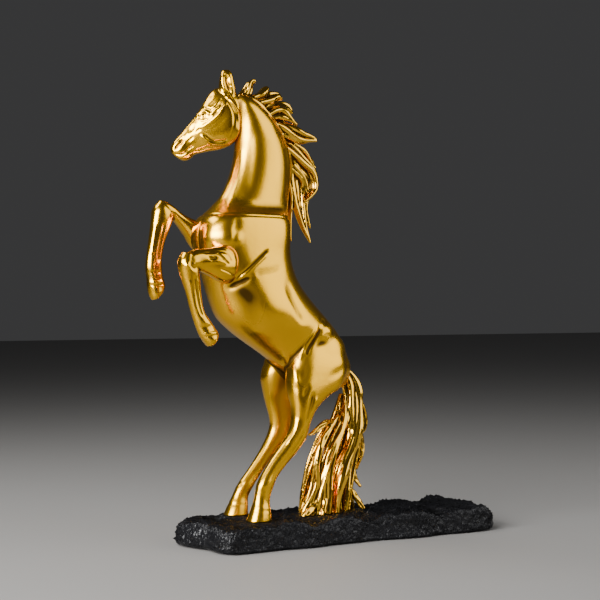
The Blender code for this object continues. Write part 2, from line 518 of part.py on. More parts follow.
def build():
    for old in list(bpy.data.objects):
        bpy.data.objects.remove(old)
    scene = bpy.context.scene
    parts = bpy.data.collections.new("rearing horse statuette")
    cutters = bpy.data.collections.new("cutters")
    for home in (parts, cutters):
        scene.collection.children.link(home)
    cutters.hide_render = True

    trunk = cast_trunk(parts, cutters)
    head = cast_head(parts)
    neck = cast_neck(parts, cutters)
    trunk_room, head_room = outgrown(trunk, cutters), outgrown(head, cutters)
    combine(neck, head_room)
    neck_room = outgrown(neck, cutters)
    left = cast_foreleg("left_foreleg_casting", -1, LEFT_ARM, LEFT_CANNON, parts)
    right = cast_foreleg("right_foreleg_casting", 1, RIGHT_ARM, RIGHT_CANNON, parts)
    mane = cast_hair("mane_casting", MANE, parts, 1350)
    tail = cast_hair("tail_casting", TAIL, parts, 1500)
    for piece in (left, right, mane, tail):
        combine(piece, trunk_room)
    for room in (head_room, neck_room):
        combine(mane, room)
    combine(tail, floor_block(cutters))
    hollow_trunk(trunk, cutters)

    pins = [pin("left_foreleg_pin", (-28, -19, 203), (-51, -21.5, 203), (trunk, left), parts, cutters),
            pin("right_foreleg_pin", (-36, 17, 213), (-55, 21, 233), (trunk, right), parts, cutters),
            pin("head_pin", (-25, 6, 319), (-2, 0, 309), (head, neck), parts, cutters),
            pin("tail_pin", (72, 0, 118), (91, -1, 104), (trunk, tail), parts, cutters)]
    plinth = make_plinth(parts)
    steel = []
    for label, foot, depth, casting in (("left_hoof", (-7, -21), 13, trunk),
                                        ("right_hoof", (-5, 21), 11, trunk), ("tail", (68, 0), 16, tail)):
        steel += fasten(label, foot, depth, casting, plinth, parts, cutters)
    pad = make_pad(parts)
    paint([trunk, neck, head, left, right, mane, tail], "gilt brass", (0.80, 0.50, 0.12, 1), 1.0, 0.22)
    paint(pins, "brass rod", (0.70, 0.52, 0.22, 1), 1.0, 0.35)
    paint([plinth], "black rock", (0.012, 0.012, 0.013, 1), 0.0, 0.45)
    paint([pad], "black felt", (0.02, 0.02, 0.02, 1), 0.0, 0.95)
    paint(steel, "zinc plated steel", (0.55, 0.56, 0.58, 1), 1.0, 0.4)


build()
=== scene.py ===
"""Looks of the rearing horse statuette: gilt castings, combed hair, rough black plinth, plain studio."""

import math

import bmesh
import bpy
import numpy as np
from mathutils import Matrix, Vector, noise


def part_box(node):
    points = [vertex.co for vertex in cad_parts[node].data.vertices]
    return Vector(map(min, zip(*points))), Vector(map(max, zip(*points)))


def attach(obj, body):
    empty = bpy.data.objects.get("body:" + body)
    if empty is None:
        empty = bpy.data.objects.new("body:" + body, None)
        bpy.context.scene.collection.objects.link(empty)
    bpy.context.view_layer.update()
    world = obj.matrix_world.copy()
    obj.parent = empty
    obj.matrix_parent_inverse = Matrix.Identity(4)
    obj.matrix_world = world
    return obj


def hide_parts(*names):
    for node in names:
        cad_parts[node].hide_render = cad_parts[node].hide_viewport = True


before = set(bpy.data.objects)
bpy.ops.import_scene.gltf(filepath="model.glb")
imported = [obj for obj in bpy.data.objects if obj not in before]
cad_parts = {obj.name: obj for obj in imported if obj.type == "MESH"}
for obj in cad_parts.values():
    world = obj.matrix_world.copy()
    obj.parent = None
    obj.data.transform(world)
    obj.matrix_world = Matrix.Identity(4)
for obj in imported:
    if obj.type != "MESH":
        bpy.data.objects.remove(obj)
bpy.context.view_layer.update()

# where the figure stands, taken from the castings and the studs of the frame
UNIT = 0.001                                     # ribs are written in millimetres
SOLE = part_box("trunk_casting")[0][2]
STUD_AHEAD = 7                                   # the left hoof's stud stands this far ahead of x = 0
HOOF_X = (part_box("left_hoof_stud")[0][0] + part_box("left_hoof_stud")[1][0]) / 2 + STUD_AHEAD * UNIT
PLINTH_LOW, PLINTH_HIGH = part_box("rock_plinth")
CLEAR = 0.3 * UNIT                               # gap between the soles and the rock
FINE = 1.0                # coarser grain while trying things

HEAD_PIVOT, HEAD_TURN = -12, 26                  # the head looks this many degrees to its right
CAMERA_TURN = 31                                 # the camera stands this far ahead of square to the flank
MIDDLE = (-0.05, 0, 0.19)                        # where the lights are aimed
DARKENING, UNSHADED_DEPTH = 5.5, 0.06                     # how fast the painted shade in a hollow of the gilding darkens, and how shallow a hollow stays free of painted shade
                                                 # shallow one stays clean

# ribs: front x, z, back x, z, half width, middle y, skew, squareness
TRUNK = [
    (-40.5, 242, 21, 240.6, 21, 0, 0.0, 2.7), (-44.5, 241.2, 25, 240, 24.4, 0, 0.0, 2.9),
    (-48.6, 236.5, 26, 236, 25.8, 0, 0.0, 3.3), (-51.2, 227, 26, 226, 26.4, 0, 0.0, 3.4),
    (-49.5, 208, 27, 212, 26.6, 0, 0.0, 2.8), (-45, 192, 31, 199, 27, 0, 0.0, 2.4),
    (-40, 175, 39, 186, 28, 0, -0.05, 2.1), (-33, 160, 51, 172, 28.5, 0, -0.05, 2.1),
    (-20, 148, 63, 160, 27, 0, 0.0, 2.1), (-7, 139, 74, 148, 24.5, 0, 0.08, 2.1),
    (7, 130, 81, 136, 23.5, 0, 0.1, 2.1), (21, 120, 86, 122, 23, 0, 0.05, 2.0),
    (36, 109, 87, 110, 19, 0, 0.0, 2.0), (50, 101, 83, 102, 12, 0, 0.0, 2.0)]
NECK = [
    (-44, 236, 25.5, 235, 24.4, 0, 0.0, 2.8), (-43.8, 241.0, 26, 240.6, 24.3, 0, 0.0, 2.8),
    (-41, 244.4, 27, 243.4, 21.8, 0, -0.05, 2.5), (-37.8, 247.8, 28, 247.2, 19.1, 0, -0.1, 2.3),
    (-34.2, 252, 29, 252, 18, 0, -0.06, 2.1),
    (-31, 256, 29.5, 257, 17.8, 0, -0.04, 2.0),
    (-24.5, 268, 31.5, 272, 17.2, 0, -0.04, 2.0), (-20, 281, 31.5, 289, 16.2, 0, -0.04, 2.0),
    (-17.5, 293, 27, 303, 15.2, 0, -0.04, 2.0), (-16.5, 305, 19, 316, 13.6, 0, -0.04, 2.0),
    (-17, 317, 8, 327, 12, 0, -0.04, 2.0), (-19, 327, -3, 335, 10, 0, -0.04, 2.0),
    (-20, 333, -11, 339, 6, 0, 0.0, 2.0)]
HEAD = [                                         # x counted from the pivot, in the head's own plane
    (-6, 341, 2, 328, 5, 0, 0.0, 2.0), (-11, 343, 1, 322, 8.5, 0, 0.0, 2.2),
    (-18, 343.5, -1, 312, 11, 0, 0.0, 2.4), (-24.5, 340.5, -3, 304, 11.8, 0, 0.0, 2.6),
    (-29.5, 333.5, -9, 297.5, 11.6, 0, -0.06, 2.6), (-34.5, 325, -17.5, 294, 10.3, 0, -0.12, 2.5),
    (-39.5, 317.5, -26, 292.5, 8.8, 0, -0.15, 2.4), (-44.5, 311.5, -33, 291, 7.4, 0, -0.12, 2.3),
    (-50, 305.5, -38, 289.5, 6.8, 0, -0.05, 2.2), (-54.3, 300.5, -41, 286.5, 6.9, 0, -0.05, 2.2),
    (-57, 296, -45.5, 284.7, 6.2, 0, 0.0, 2.2), (-56.8, 292, -50, 285.8, 4.6, 0, 0.0, 2.1),
    (-55.5, 290, -53, 288, 2.2, 0, 0.0, 2.0)]
EAR = [
    (-19.5, 335, -6, 334, 3.4, 6.2, 0.0, 2.0), (-18.6, 341, -5.5, 341, 4.0, 6.8, 0.0, 2.0),
    (-18.4, 346.5, -6.6, 347, 4.0, 7.2, 0.0, 2.1), (-17.9, 351, -7.6, 351.5, 3.6, 7.4, 0.0, 2.2),
    (-16.9, 354.6, -9.0, 354.9, 2.6, 7.5, 0.0, 2.2), (-15.2, 356.6, -10.8, 356.7, 1.4, 7.5, 0.0, 2.1)]
LEFT_HIND = [
    (35, 150, 68, 142, 9, 13, 0.0, 2.6), (27, 132, 75, 122, 12.5, 14, 0.0, 3.0),
    (21.5, 114, 70, 104, 12.5, 15.5, 0.0, 3.0), (21, 100, 56, 96, 11, 17.5, 0.0, 2.8),
    (22.5, 88, 44.5, 86, 8.5, 20, 0.0, 2.4), (22, 77, 38.5, 75, 7, 20.5, 0.0, 2.2),
    (18.5, 68, 34.8, 64, 6.4, 21, 0.0, 2.3), (11.5, 58.5, 26.5, 53, 5.5, 21, 0.0, 2.3),
    (3, 48.5, 16, 42.5, 4.9, 21, 0.0, 2.3), (-4.5, 38.5, 8.5, 34, 4.9, 21, 0.0, 2.2),
    (-9.8, 29.5, 4.6, 27, 5.7, 21, 0.0, 2.2), (-12, 20.5, 1.5, 18.5, 5.1, 21, 0.0, 2.1),
    (-13.6, 13.5, 1, 12, 5.8, 21, 0.0, 2.1), (-14.8, 10, 1.6, 9.4, 6.9, 21, 0.0, 2.2),
    (-16.7, 5, 1.7, 4.5, 7.8, 21, 0.0, 2.2), (-18.5, 0, 2, 0, 8.5, 21, 0.0, 2.3),
    (-19.5, -4, 2, -4, 8.8, 21, 0.0, 2.3)]
RIGHT_HIND = [
    (32, 146, 66, 138, 9, 13, 0.0, 2.6), (22, 129, 72, 118, 12.5, 14, 0.0, 3.0),
    (16, 113, 66, 105, 12.5, 15.5, 0.0, 3.0), (18, 101, 53, 97, 10.5, 17.5, 0.0, 2.8),
    (22, 88, 49, 85, 8, 20, 0.0, 2.4), (25.5, 76, 46.5, 72, 6.8, 20.5, 0.0, 2.2),
    (25, 67, 43, 60.5, 6.3, 21, 0.0, 2.3), (18.5, 54, 31, 49, 5.5, 21, 0.0, 2.3),
    (10, 42, 21.5, 37.5, 4.9, 21, 0.0, 2.3), (2, 32, 14, 28, 4.9, 21, 0.0, 2.2),
    (-4.2, 24.5, 9.3, 21.5, 5.7, 21, 0.0, 2.2), (-8.4, 17, 5.5, 15, 5.1, 21, 0.0, 2.1),
    (-11, 11.5, 4.4, 10.5, 5.9, 21, 0.0, 2.1), (-12.6, 8.4, 4.4, 7.8, 6.9, 21, 0.0, 2.2),
    (-14.6, 4.4, 4, 4, 7.8, 21, 0.0, 2.2), (-16.4, 0, 4, 0, 8.5, 21, 0.0, 2.3),
    (-17.4, -4, 4, -4, 8.8, 21, 0.0, 2.3)]
LEFT_ARM = [
    (-26, 214, -26, 194, 8, 14, 0.0, 2.1), (-32, 217.5, -31, 188, 10.6, 16.8, 0.0, 2.2),
    (-39, 217.8, -38, 186.5, 10, 19.6, 0.0, 2.2), (-47, 215.5, -45, 188.5, 8.6, 21.5, 0.0, 2.2),
    (-56, 213.8, -54, 193, 7.2, 22, 0.0, 2.2), (-65, 213.2, -62, 196, 6.8, 22, 0.0, 2.2),
    (-73, 210, -68, 196, 6.8, 22, 0.0, 2.3), (-78.5, 205, -74, 199, 4.5, 22, 0.0, 2.1)]
LEFT_CANNON = [
    (-76, 211, -66, 208, 5.5, 22, 0.0, 2.2), (-79.6, 203.5, -63.5, 199, 7.1, 22, 0.0, 2.4),
    (-77.5, 193, -61.8, 189, 6.3, 22, 0.0, 2.3), (-73.5, 181, -60.5, 178, 5.1, 22, 0.0, 2.2),
    (-69.8, 168, -58, 165.5, 4.7, 22, 0.0, 2.2), (-66.4, 158, -52, 157, 5.5, 22, 0.0, 2.2),
    (-63.8, 151.5, -48.6, 152.5, 5.3, 22, 0.0, 2.2), (-61, 146, -45.8, 148, 6.3, 22, 0.0, 2.3),
    (-57, 141, -46.8, 143.5, 6.6, 22, 0.0, 2.3), (-54.5, 138, -49.5, 139.5, 4.6, 22, 0.0, 2.1)]
RIGHT_ARM = [
    (-30, 230, -24, 202, 8, 15, 0.0, 2.2), (-40, 236, -35, 205, 9.5, 18, 0.0, 2.2),
    (-50, 240, -47, 216, 8, 20, 0.0, 2.2), (-57.5, 244.5, -54, 227.5, 7, 21.5, 0.0, 2.2),
    (-65, 250, -61.5, 236.5, 6.6, 22, 0.0, 2.2), (-72, 253, -68, 240, 6.4, 22, 0.0, 2.3),
    (-76, 251.5, -73.5, 244, 4.4, 22, 0.0, 2.1)]
RIGHT_CANNON = [
    (-74.5, 253, -66, 249, 5.2, 22, 0.0, 2.2), (-79.8, 246, -63, 240, 6.8, 22, 0.0, 2.4),
    (-81.5, 235, -66, 230, 6.1, 22, 0.0, 2.3), (-83.2, 223, -70, 220, 5.1, 22, 0.0, 2.2),
    (-85.3, 210, -72.5, 208.5, 4.7, 22, 0.0, 2.2), (-86.3, 200, -72.6, 199.5, 5.1, 22, 0.0, 2.2),
    (-85.3, 192, -71.8, 192, 5.3, 22, 0.0, 2.2), (-84.6, 184.5, -70.0, 186, 6.0, 22, 0.0, 2.3),
    (-83, 178, -71.8, 180, 6.1, 22, 0.0, 2.3), (-80.8, 173.7, -75.5, 176, 4.4, 22, 0.0, 2.1)]

# muscle masses: x, y (outwards, both sides), z, then half sizes along x, y, z and a tilt in degrees
MUSCLES = [
    (-31, 9, 223, 21, 18, 19, 0), (-16, 9, 218, 26, 17.3, 24, 0),
    (51, 13, 146, 14, 12, 12, 40), (54, 13, 128, 24, 13, 20, 35),
    (71, 8, 119, 13, 12, 14, 20)]

# lines drawn into the skin: depth (in is negative), half width, side (-1 left, 1 right, 2 both,
# 0 all round), then x, z along the line; a single point makes a round dent or boss
TRUNK_LINES = [
    (-1.3, 0.65, 2, [(-31, 189), (-27, 193), (-21, 198), (-13, 205), (-6.5, 210.5), (-2, 214)]),
    (0.7, 0.7, 2, [(-28, 190), (-22, 195), (-14, 202), (-8, 207), (-4, 210)]),
    (-1.8, 3.0, 2, [(-38, 181), (-30, 186), (-23, 189.5), (-14, 193)]),
    (-1.2, 7.0, 2, [(-30, 187), (-23, 179), (-17, 168), (-11, 156), (-5, 146)]),
    (-0.4, 3.4, 2, [(-20, 191), (-9, 195), (3, 197), (14, 203)]),
    (-0.5, 2.8, 2, [(-29, 242), (-31, 231), (-33.5, 220), (-35, 209)]),
    (-1.0, 4.0, 2, [(13, 192), (19, 177), (26, 163), (32, 152)]),
    (0.4, 1.8, 2, [(8, 128), (15, 122), (22, 114)]),
    (0.8, 1.8, 2, [(16, 133), (20, 127), (23, 119.5), (24.5, 111.5), (24.5, 103)]),
    (0.8, 1.0, 2, [(45.5, 155), (40.5, 146.5), (35, 139), (30, 131), (27.5, 124.5)]),
    (-0.9, 1.4, 2, [(48, 152.5), (43, 144.5), (37.3, 136.8), (32.6, 128.5)]),
    (-0.7, 4.4, 2, [(33, 128), (30, 120), (29, 111.5), (29.5, 100)]),
    (-0.7, 2.8, 2, [(46, 159), (53.5, 156.5), (60, 149)]),
    (-0.5, 3.0, 2, [(37.5, 132.5), (43.5, 137), (50, 139.5), (58, 139.5)]),
    (-0.5, 3.4, 2, [(50, 110), (60, 114.5), (67, 118), (75, 124.5)]),
    (-0.5, 2.6, 2, [(48, 143), (54, 146), (60, 143)]),
    (-0.8, 2.4, 2, [(27, 92), (30.5, 100.5), (35, 107)]),
    (-0.7, 1.6, -1, [(38, 101), (35.5, 92), (33.5, 84), (33, 74)]),
    (0.5, 1.5, -1, [(41, 97), (39, 88), (37, 76)]),
    (-0.6, 1.3, -1, [(32, 73), (24.5, 62), (14.5, 49), (3, 35.5)]),
    (0.5, 1.6, -1, [(25, 80), (22.5, 70), (14, 58)]),
    (-0.3, 1.8, 0, [(-9, 24.5), (-3.5, 24.5), (2.5, 23)]),
    (0.2, 1.4, 0, [(-15.2, 10.6), (-7, 10.8), (1.4, 9.6)]),
    (-0.2, 1.0, 0, [(-16, 8.2), (-7, 8.4), (1.6, 7.2)]),
    (-0.7, 1.6, 1, [(33.5, 101), (34, 92), (36, 84), (38, 73)]),
    (-0.6, 1.3, 1, [(37, 69), (29.5, 58), (20.5, 45), (9, 30.5)])]

# recesses given painted shade: strength, half width, then x, z along them
PAINTED_SHADE_TRUNK = [
    (0.18, 6.5, [(-44, 187), (-32, 185), (-23, 180), (-13, 174), (-2, 170)]),
    (0.08, 9.0, [(-36, 192), (-22, 176), (-14, 161), (-4, 145)]),
    (0.15, 5.5, [(35, 140), (30.5, 122), (29, 98)]), (0.05, 3.4, [(50, 150), (41, 137), (30, 120)])]
PAINTED_SHADE_NECK = [
    (0.12, 3.0, [(-26, 245.5), (-1, 245.8), (24, 245.5)]),
    (0.3, 2.8, [(-17, 342), (-18, 318), (-17.5, 300), (-18.5, 292)])]

# lines across the middle of the body: depth, half width, then x, y, z along them
CHEST_LINES = [
    (-1.1, 2.4, [(-46, 0, 240), (-50.5, 0, 228), (-50, 0, 215), (-47, 0, 200)]),
    (-0.5, 1.4, [(-43, -17, 238), (-46, -14, 231), (-48, -10, 225)]),
    (-0.5, 1.4, [(-43, 17, 238), (-46, 14, 231), (-48, 10, 225)]),
    (-0.8, 3.0, [(-40, -22, 208), (-44, -14, 202), (-46, 0, 198)]),
    (-0.8, 3.0, [(-40, 22, 208), (-44, 14, 202), (-46, 0, 198)]),
    (-1.0, 2.6, [(82, 0, 126), (77, 0, 140), (68, 0, 154), (58, 0, 168)])]
NECK_LINES = [
    (0.7, 1.8, 2, [(-19.5, 296), (-20.5, 287), (-23, 279), (-28, 267), (-33.5, 255.5), (-39.5, 246)]),
    (-0.6, 1.5, 2, [(-17.8, 294), (-19.8, 280), (-24, 267.5), (-29.5, 255.5), (-34.5, 246)]),
    (0.35, 2.2, 2, [(-15, 306), (-15.5, 289), (-18.5, 273), (-23.5, 259), (-29, 246)]),
    (-0.4, 3.4, 2, [(-10, 312), (-10, 292), (-13, 273), (-18, 256)]),
    (-0.5, 3.0, 2, [(11, 317), (19.5, 303), (23, 287), (24, 266.5), (22.5, 250)]),
    (0.3, 4.0, 2, [(2, 312), (10, 296), (12, 278), (9, 260)]),
    (-0.8, 1.6, 2, [(-18.5, 314), (-18.5, 306), (-18.5, 298)])]
HEAD_LINES = [
    (0.7, 1.5, 2, [(-34, 309.5), (-30, 312), (-25, 315.5), (-19.5, 320.5), (-15, 327), (-12.5, 333)]),
    (0.75, 1.1, 2, [(-11, 334), (-7.5, 329), (-4.5, 323.5), (-3, 317.5), (-3, 311), (-4.5, 305.5),
                    (-7.5, 300)]),
    (-0.5, 1.2, 2, [(-12, 331), (-8.5, 326), (-6.6, 319), (-7, 311.5), (-8.5, 305.5), (-11, 301.5)]),
    (0.78, 0.9, 2, [(-34, 304.8), (-30, 302), (-26, 299), (-22.5, 297.6), (-16.5, 297.8), (-10, 298.5)]),
    (-0.7, 0.9, 2, [(-31, 306), (-26.5, 302), (-22, 300), (-16.5, 300.2), (-11, 301.5)]),
    (-0.39, 7.0, 2, [(-18, 311)]),
    (-0.62, 0.9, 2, [(-38, 292.5), (-31.5, 294), (-27.5, 295.8), (-22.5, 295.2), (-14, 296)]),
    (-1.5, 0.85, 2, [(-54.5, 292.5), (-52, 296.2), (-49.5, 299.3), (-47.3, 302.3)]),
    (0.3, 0.9, 2, [(-55.5, 295.5), (-53.5, 299), (-51, 302), (-48, 304.8), (-45.8, 303)]),
    (0.25, 0.9, 2, [(-52.5, 290.8), (-49.3, 293.8), (-46.3, 297.8), (-44.8, 301.5)]),
    (-0.86, 0.75, 2, [(-55, 290.3), (-51, 289.3), (-48, 289.8), (-44.5, 292), (-41.5, 295), (-37.5, 296.5)]),
    (0.47, 1.1, 2, [(-52, 287.6), (-48.5, 286.6), (-44.5, 289), (-40.5, 291.8)]),
    (-0.55, 1.0, 2, [(-42.5, 289.5), (-40, 288.8), (-37, 290)]),
    (0.62, 1.6, 2, [(-49, 307), (-41.5, 314), (-37, 318.5), (-33.5, 322)]),
    (-0.62, 1.8, 2, [(-43.5, 305.5), (-40, 309.5), (-37, 313.5)]),
    (-0.47, 0.8, 2, [(-37.5, 306), (-35.5, 308.5), (-32, 309.5)]),
    (-0.39, 0.8, 2, [(-44, 299.5), (-41, 301.5), (-38.5, 304.5)]),
    (-0.8, 3.0, 2, [(-33, 319.5), (-28.5, 320)]),
    (0.8, 1.6, 2, [(-31.6, 320)]),
    (0.55, 0.8, 2, [(-36.3, 318), (-34.3, 322), (-31, 323.6), (-28, 322.2), (-26, 319.2)]),
    (0.4, 0.7, 2, [(-36, 317.6), (-33, 316.2), (-29.6, 316.4), (-26.6, 318)]),
    (-0.5, 0.6, 2, [(-35, 318.7), (-33.3, 321), (-31, 321.9), (-29, 321)]),
    (0.4, 1.1, 2, [(-33, 326), (-29.5, 327.2), (-25.5, 326), (-22, 328), (-19, 331.5), (-17, 334.5)]),
    (-0.45, 0.7, 2, [(-31.5, 325), (-28.5, 325.4), (-25.5, 323.5), (-24, 321)]),
    (0.45, 0.7, 2, [(-25.5, 319.8), (-24, 322.5), (-21.5, 324.8), (-19, 326.2), (-17.5, 328.5)]),
    (-0.45, 0.7, 2, [(-23.5, 326.5), (-20.5, 328.5), (-18.6, 331.5), (-16.8, 333.8)]),
    (-0.55, 0.7, 2, [(-24, 319), (-22, 321.5), (-19, 323.5)]),
    (-0.47, 1.6, 2, [(-28.5, 330), (-26, 333.5), (-22.5, 337)]),
    (-0.62, 1.3, 2, [(-16, 341.5), (-14.5, 338), (-12, 334.5)]),
    (0.62, 1.0, 2, [(-17.5, 341), (-13.5, 336), (-9, 331), (-5.5, 325.5), (-3, 321)]),
    (-0.62, 0.8, 2, [(-14.2, 341), (-11, 336.5), (-7, 331), (-4, 325.5)])]
EAR_LINES = [
    (-2.1, 1.5, 2, [(-12.9, 353.2), (-13.2, 349), (-12.4, 345), (-10.6, 340.5), (-8.4, 336)]),
    (0.6, 0.9, 2, [(-15.8, 353.5), (-16.2, 348), (-15.4, 343), (-13.2, 338.5)]),
    (-0.5, 0.6, 2, [(-11.2, 351.5), (-10.6, 346.5), (-9.2, 342)])]
LEFT_FORE_LINES = [
    (0.45, 0.8, -1, [(-72, 210.5), (-64, 212.3), (-51, 214.5), (-42, 214.3), (-36.5, 211), (-33.5, 205)]),
    (-0.35, 0.9, -1, [(-62, 209.6), (-52, 211.4), (-43, 211), (-38.5, 207.5), (-36, 202)]),
    (-0.5, 0.7, -1, [(-50, 211), (-45, 206.5), (-39, 201)]),
    (-0.4, 0.8, -1, [(-58.5, 208), (-54, 205.7), (-50, 206.7)]),
    (-0.6, 0.8, -1, [(-48, 198.5), (-42, 196.5), (-36, 194), (-32, 192)]),
    (-1.6, 1.6, -1, [(-31, 196), (-29.5, 191)]),
    (0.6, 1.6, -1, [(-62, 203), (-50, 203.5), (-41, 203)]),
    (-0.7, 1.4, -1, [(-73.5, 205), (-71, 199.5), (-66, 197)]),
    (0.7, 1.8, -1, [(-75.5, 203), (-74.5, 197)]),
    (-0.7, 1.1, 0, [(-68.5, 193), (-67, 183), (-64, 170), (-60.5, 160)]),
    (0.4, 1.2, 0, [(-73, 190), (-70, 177), (-66.5, 164)]),
    (-0.35, 1.4, 0, [(-64.5, 153.5), (-57, 153.5), (-50, 154.5)]),
    (0.35, 1.1, 0, [(-61.5, 147.8), (-54, 148.5), (-46.5, 149.6)]),
    (-0.4, 0.9, 0, [(-60.6, 145.8), (-53.5, 146.5), (-46, 147.6)])]
RIGHT_FORE_LINES = [
    (-0.7, 1.0, 2, [(-38, 212), (-46, 219), (-54, 227)]),
    (0.7, 1.5, 2, [(-44, 228), (-54, 236), (-62, 242)]),
    (-0.7, 1.3, 2, [(-76, 247), (-73.5, 241.5), (-69, 238)]),
    (0.7, 1.8, 2, [(-77.5, 246), (-78, 240)]),
    (-0.7, 1.1, 0, [(-72.5, 236), (-74.5, 225), (-76.5, 212), (-77, 203)]),
    (0.4, 1.2, 0, [(-79.5, 235), (-81.5, 222), (-83, 208)]),
    (-0.35, 1.4, 0, [(-85.5, 196), (-79, 196), (-72, 196.5)]),
    (0.35, 1.1, 0, [(-84.8, 187.8), (-78, 188), (-70.6, 189)]),
    (-0.4, 0.9, 0, [(-84.4, 185.7), (-77.5, 186), (-70, 187)])]

# locks of hair: width, thickness, x, y (left is negative), z from root to tip, then how full the tip
# is if it isn't drawn out fine
FINE_TIP = 0.16
THINNEST = 0.45                                  # least radius of a strand
MANE = [
    (9, 6, [(-12, 2, 333), (-7, 2, 341), (-2.5, 1, 348), (1, 0, 350)]),
    (9, 6, [(-6, 3, 331), (4.5, 3, 339), (10.5, 2, 344), (13.5, 1, 345)]),
    (11, 7, [(0, 3, 328), (12, 4, 335), (21.5, 4, 339), (27, 3, 337)]),
    (10, 6, [(6, 4, 325), (22, 6, 331), (33, 7, 332), (40, 8, 327)]),
    (9, 6, [(8, 2, 322), (22, 1, 326), (31, -1, 322), (38, -3, 317)]),
    (13, 8, [(15, 3, 315), (29, 2, 312), (41, -1, 308), (50, -3, 306), (56, -4, 304)]),
    (8, 5, [(24, 5, 306), (39, 7, 300), (50, 8, 295), (57, 8, 289), (62, 8, 283)]),
    (12, 7, [(24, 4, 305), (36, 5, 296), (47, 6, 286), (56, 6, 277), (58, 5, 266), (52, 4, 258),
             (47, 3, 254)]),
    (8, 6, [(38, 7, 284), (50, 9, 274), (53, 10, 262), (52, 9, 248), (56, 7, 233)]),
    (15, 7, [(29, 4, 300), (38, 8, 287), (43, 10, 271), (46, 10, 254), (50, 8, 236), (55, 5, 221)]),
    (5, 4, [(32, 6, 280), (37, 8, 262), (37, 9, 245), (37, 8, 231), (38, 7, 222)]),
    (10, 8, [(-14, 1, 336), (3, 2, 328), (17, 3, 316), (27, 3, 305), (32, 4, 290), (36, 6, 276)])]
TAIL = [
    (11, 9, [(80, 0, 118), (88, 0, 112), (92, -3, 101), (92, -6, 87), (90, -8, 70), (84, -10, 54),
             (75, -11, 38), (69, -12, 20), (67, -13, -4)], 0.7),
    (11, 9, [(82, 0, 112), (86, -2, 93), (83, -4, 79), (75, -8, 67), (64, -12, 50), (56, -13, 31),
             (52, -13, 16), (50, -14, -4)], 0.8),
    (11, 9, [(78, -3, 79), (66, -7, 69), (56, -11, 56), (51, -12, 40), (49, -12, 22), (41, -12, 6),
             (36, -12, -4)], 0.7),
    (6, 5, [(72, -6, 74), (62, -9, 74), (54, -12, 71), (46, -15, 67), (40, -17, 65)], 0.3),
    (12, 9, [(84, 3, 116), (92, 3, 108), (98, 3, 92), (99, 3, 73), (97, 2, 52), (91, 0, 32), (86, -3, 16),
             (83, -5, -4)], 0.7),
    (7, 7, [(96, 4, 98), (104, 6, 88), (108, 6, 77), (107, 5, 66), (101, 4, 60)], 0.4),
    (8, 7, [(99, 5, 76), (105, 7, 60), (105, 6, 46), (99, 4, 32)], 0.4),
    (7, 6, [(95, 2, 50), (94, 2, 34), (95, 0, 26), (100, -2, 18)], 0.3),
    (10, 9, [(96, 4, 62), (97, 7, 42), (94, 8, 24), (94, 9, 10), (99, 9, -4)], 0.7),
    (11, 9, [(84, 3, 112), (94, 8, 92), (94, 11, 69), (85, 12, 48), (76, 13, 28), (70, 13, -4)], 0.8),
    (10, 9, [(80, 2, 80), (69, 4, 66), (62, 7, 50), (57, 9, 35), (54, 10, 17), (51, 11, -4)], 0.8),
    (11, 9, [(80, -5, 78), (73, -9, 65), (64, -13, 47), (59, -14, 27), (58, -15, -4)], 0.8),
    (6, 5, [(52, -13, 18), (46, -15, 8), (38, -17, 1), (31, -18, -4)], 0.5),
    (6, 5, [(58, -14, 16), (55, -17, 6), (50, -20, -4)], 0.5),
    (6, 5, [(92, 2, 18), (97, -1, 8), (103, -5, -4)], 0.5),
    (18, 16, [(84, 2, 96), (80, 2, 76), (75, 0, 55), (69, -1, 35), (64, -1, 16), (60, 0, -4)], 0.9),
    (16, 14, [(88, 3, 84), (91, 4, 60), (87, 3, 40), (81, 2, 20), (78, 1, -4)], 0.9)]

# outline of the plinth going round, in halves of its length and width
EDGE = [(0.94, -0.73), (0.955, -0.3), (0.945, 0.2), (0.93, 0.62), (0.85, 0.88), (0.68, 0.95), (0.46, 0.9),
        (0.27, 0.87), (0.08, 0.9), (-0.11, 0.97), (-0.34, 0.88), (-0.5, 0.9), (-0.65, 0.95), (-0.84, 0.86),
        (-0.96, 0.78), (-1.0, 0.45), (-0.985, 0.1), (-0.94, -0.3), (-0.945, -0.65), (-0.9, -0.95),
        (-0.78, -0.98), (-0.58, -0.94), (-0.4, -1.0), (-0.26, -0.93), (-0.08, -0.92), (0.08, -0.89),
        (0.22, -0.97), (0.38, -1.0), (0.5, -0.93), (0.66, -0.96), (0.81, -0.94), (0.905, -0.87)]
# where something stands on it: x, y and how far around the top is kept flat, in figure units
FEET = [(-7, -21, 11), (-5, 21, 11), (46, -8, 15), (64, 0, 18), (88, 3, 14)]
# layers of smooth swellings on the rock: height and size in metres, then a seed
SIDE_LUMPS = [(0.0013, 0.021, 2.7), (0.0008, 0.009, 7.3)]
TOP_WAVES = [(0.0052, 0.024, 5.5), (0.0022, 0.01, 1.9)]
GRAINS = [(0.0002, 0.0013, 1.3)]
RIDGE = (0.0058, 0.0028, 0.0030)                 # length, breadth and height of one chipped ridge


def place(points):
    """figure units to metres on the plinth"""
    return np.array(points, float).reshape(-1, 3) * UNIT + np.array([HOOF_X, 0.0, SOLE])


def spline(rows, steps):
    """smooth curve through every row of numbers"""
    r = np.array(rows, float)
    p = np.vstack([2 * r[0] - r[1], r, 2 * r[-1] - r[-2]])
    out = []
    for a, b, c, d in zip(p[:-3], p[1:-2], p[2:-1], p[3:]):
        for t in np.arange(steps) / steps:
            out.append(0.5 * (2 * b + (c - a) * t + (2 * a - 5 * b + 4 * c - d) * t**2
                              + (3 * b - a - 3 * c + d) * t**3))
    return np.array(out + [r[-1]])


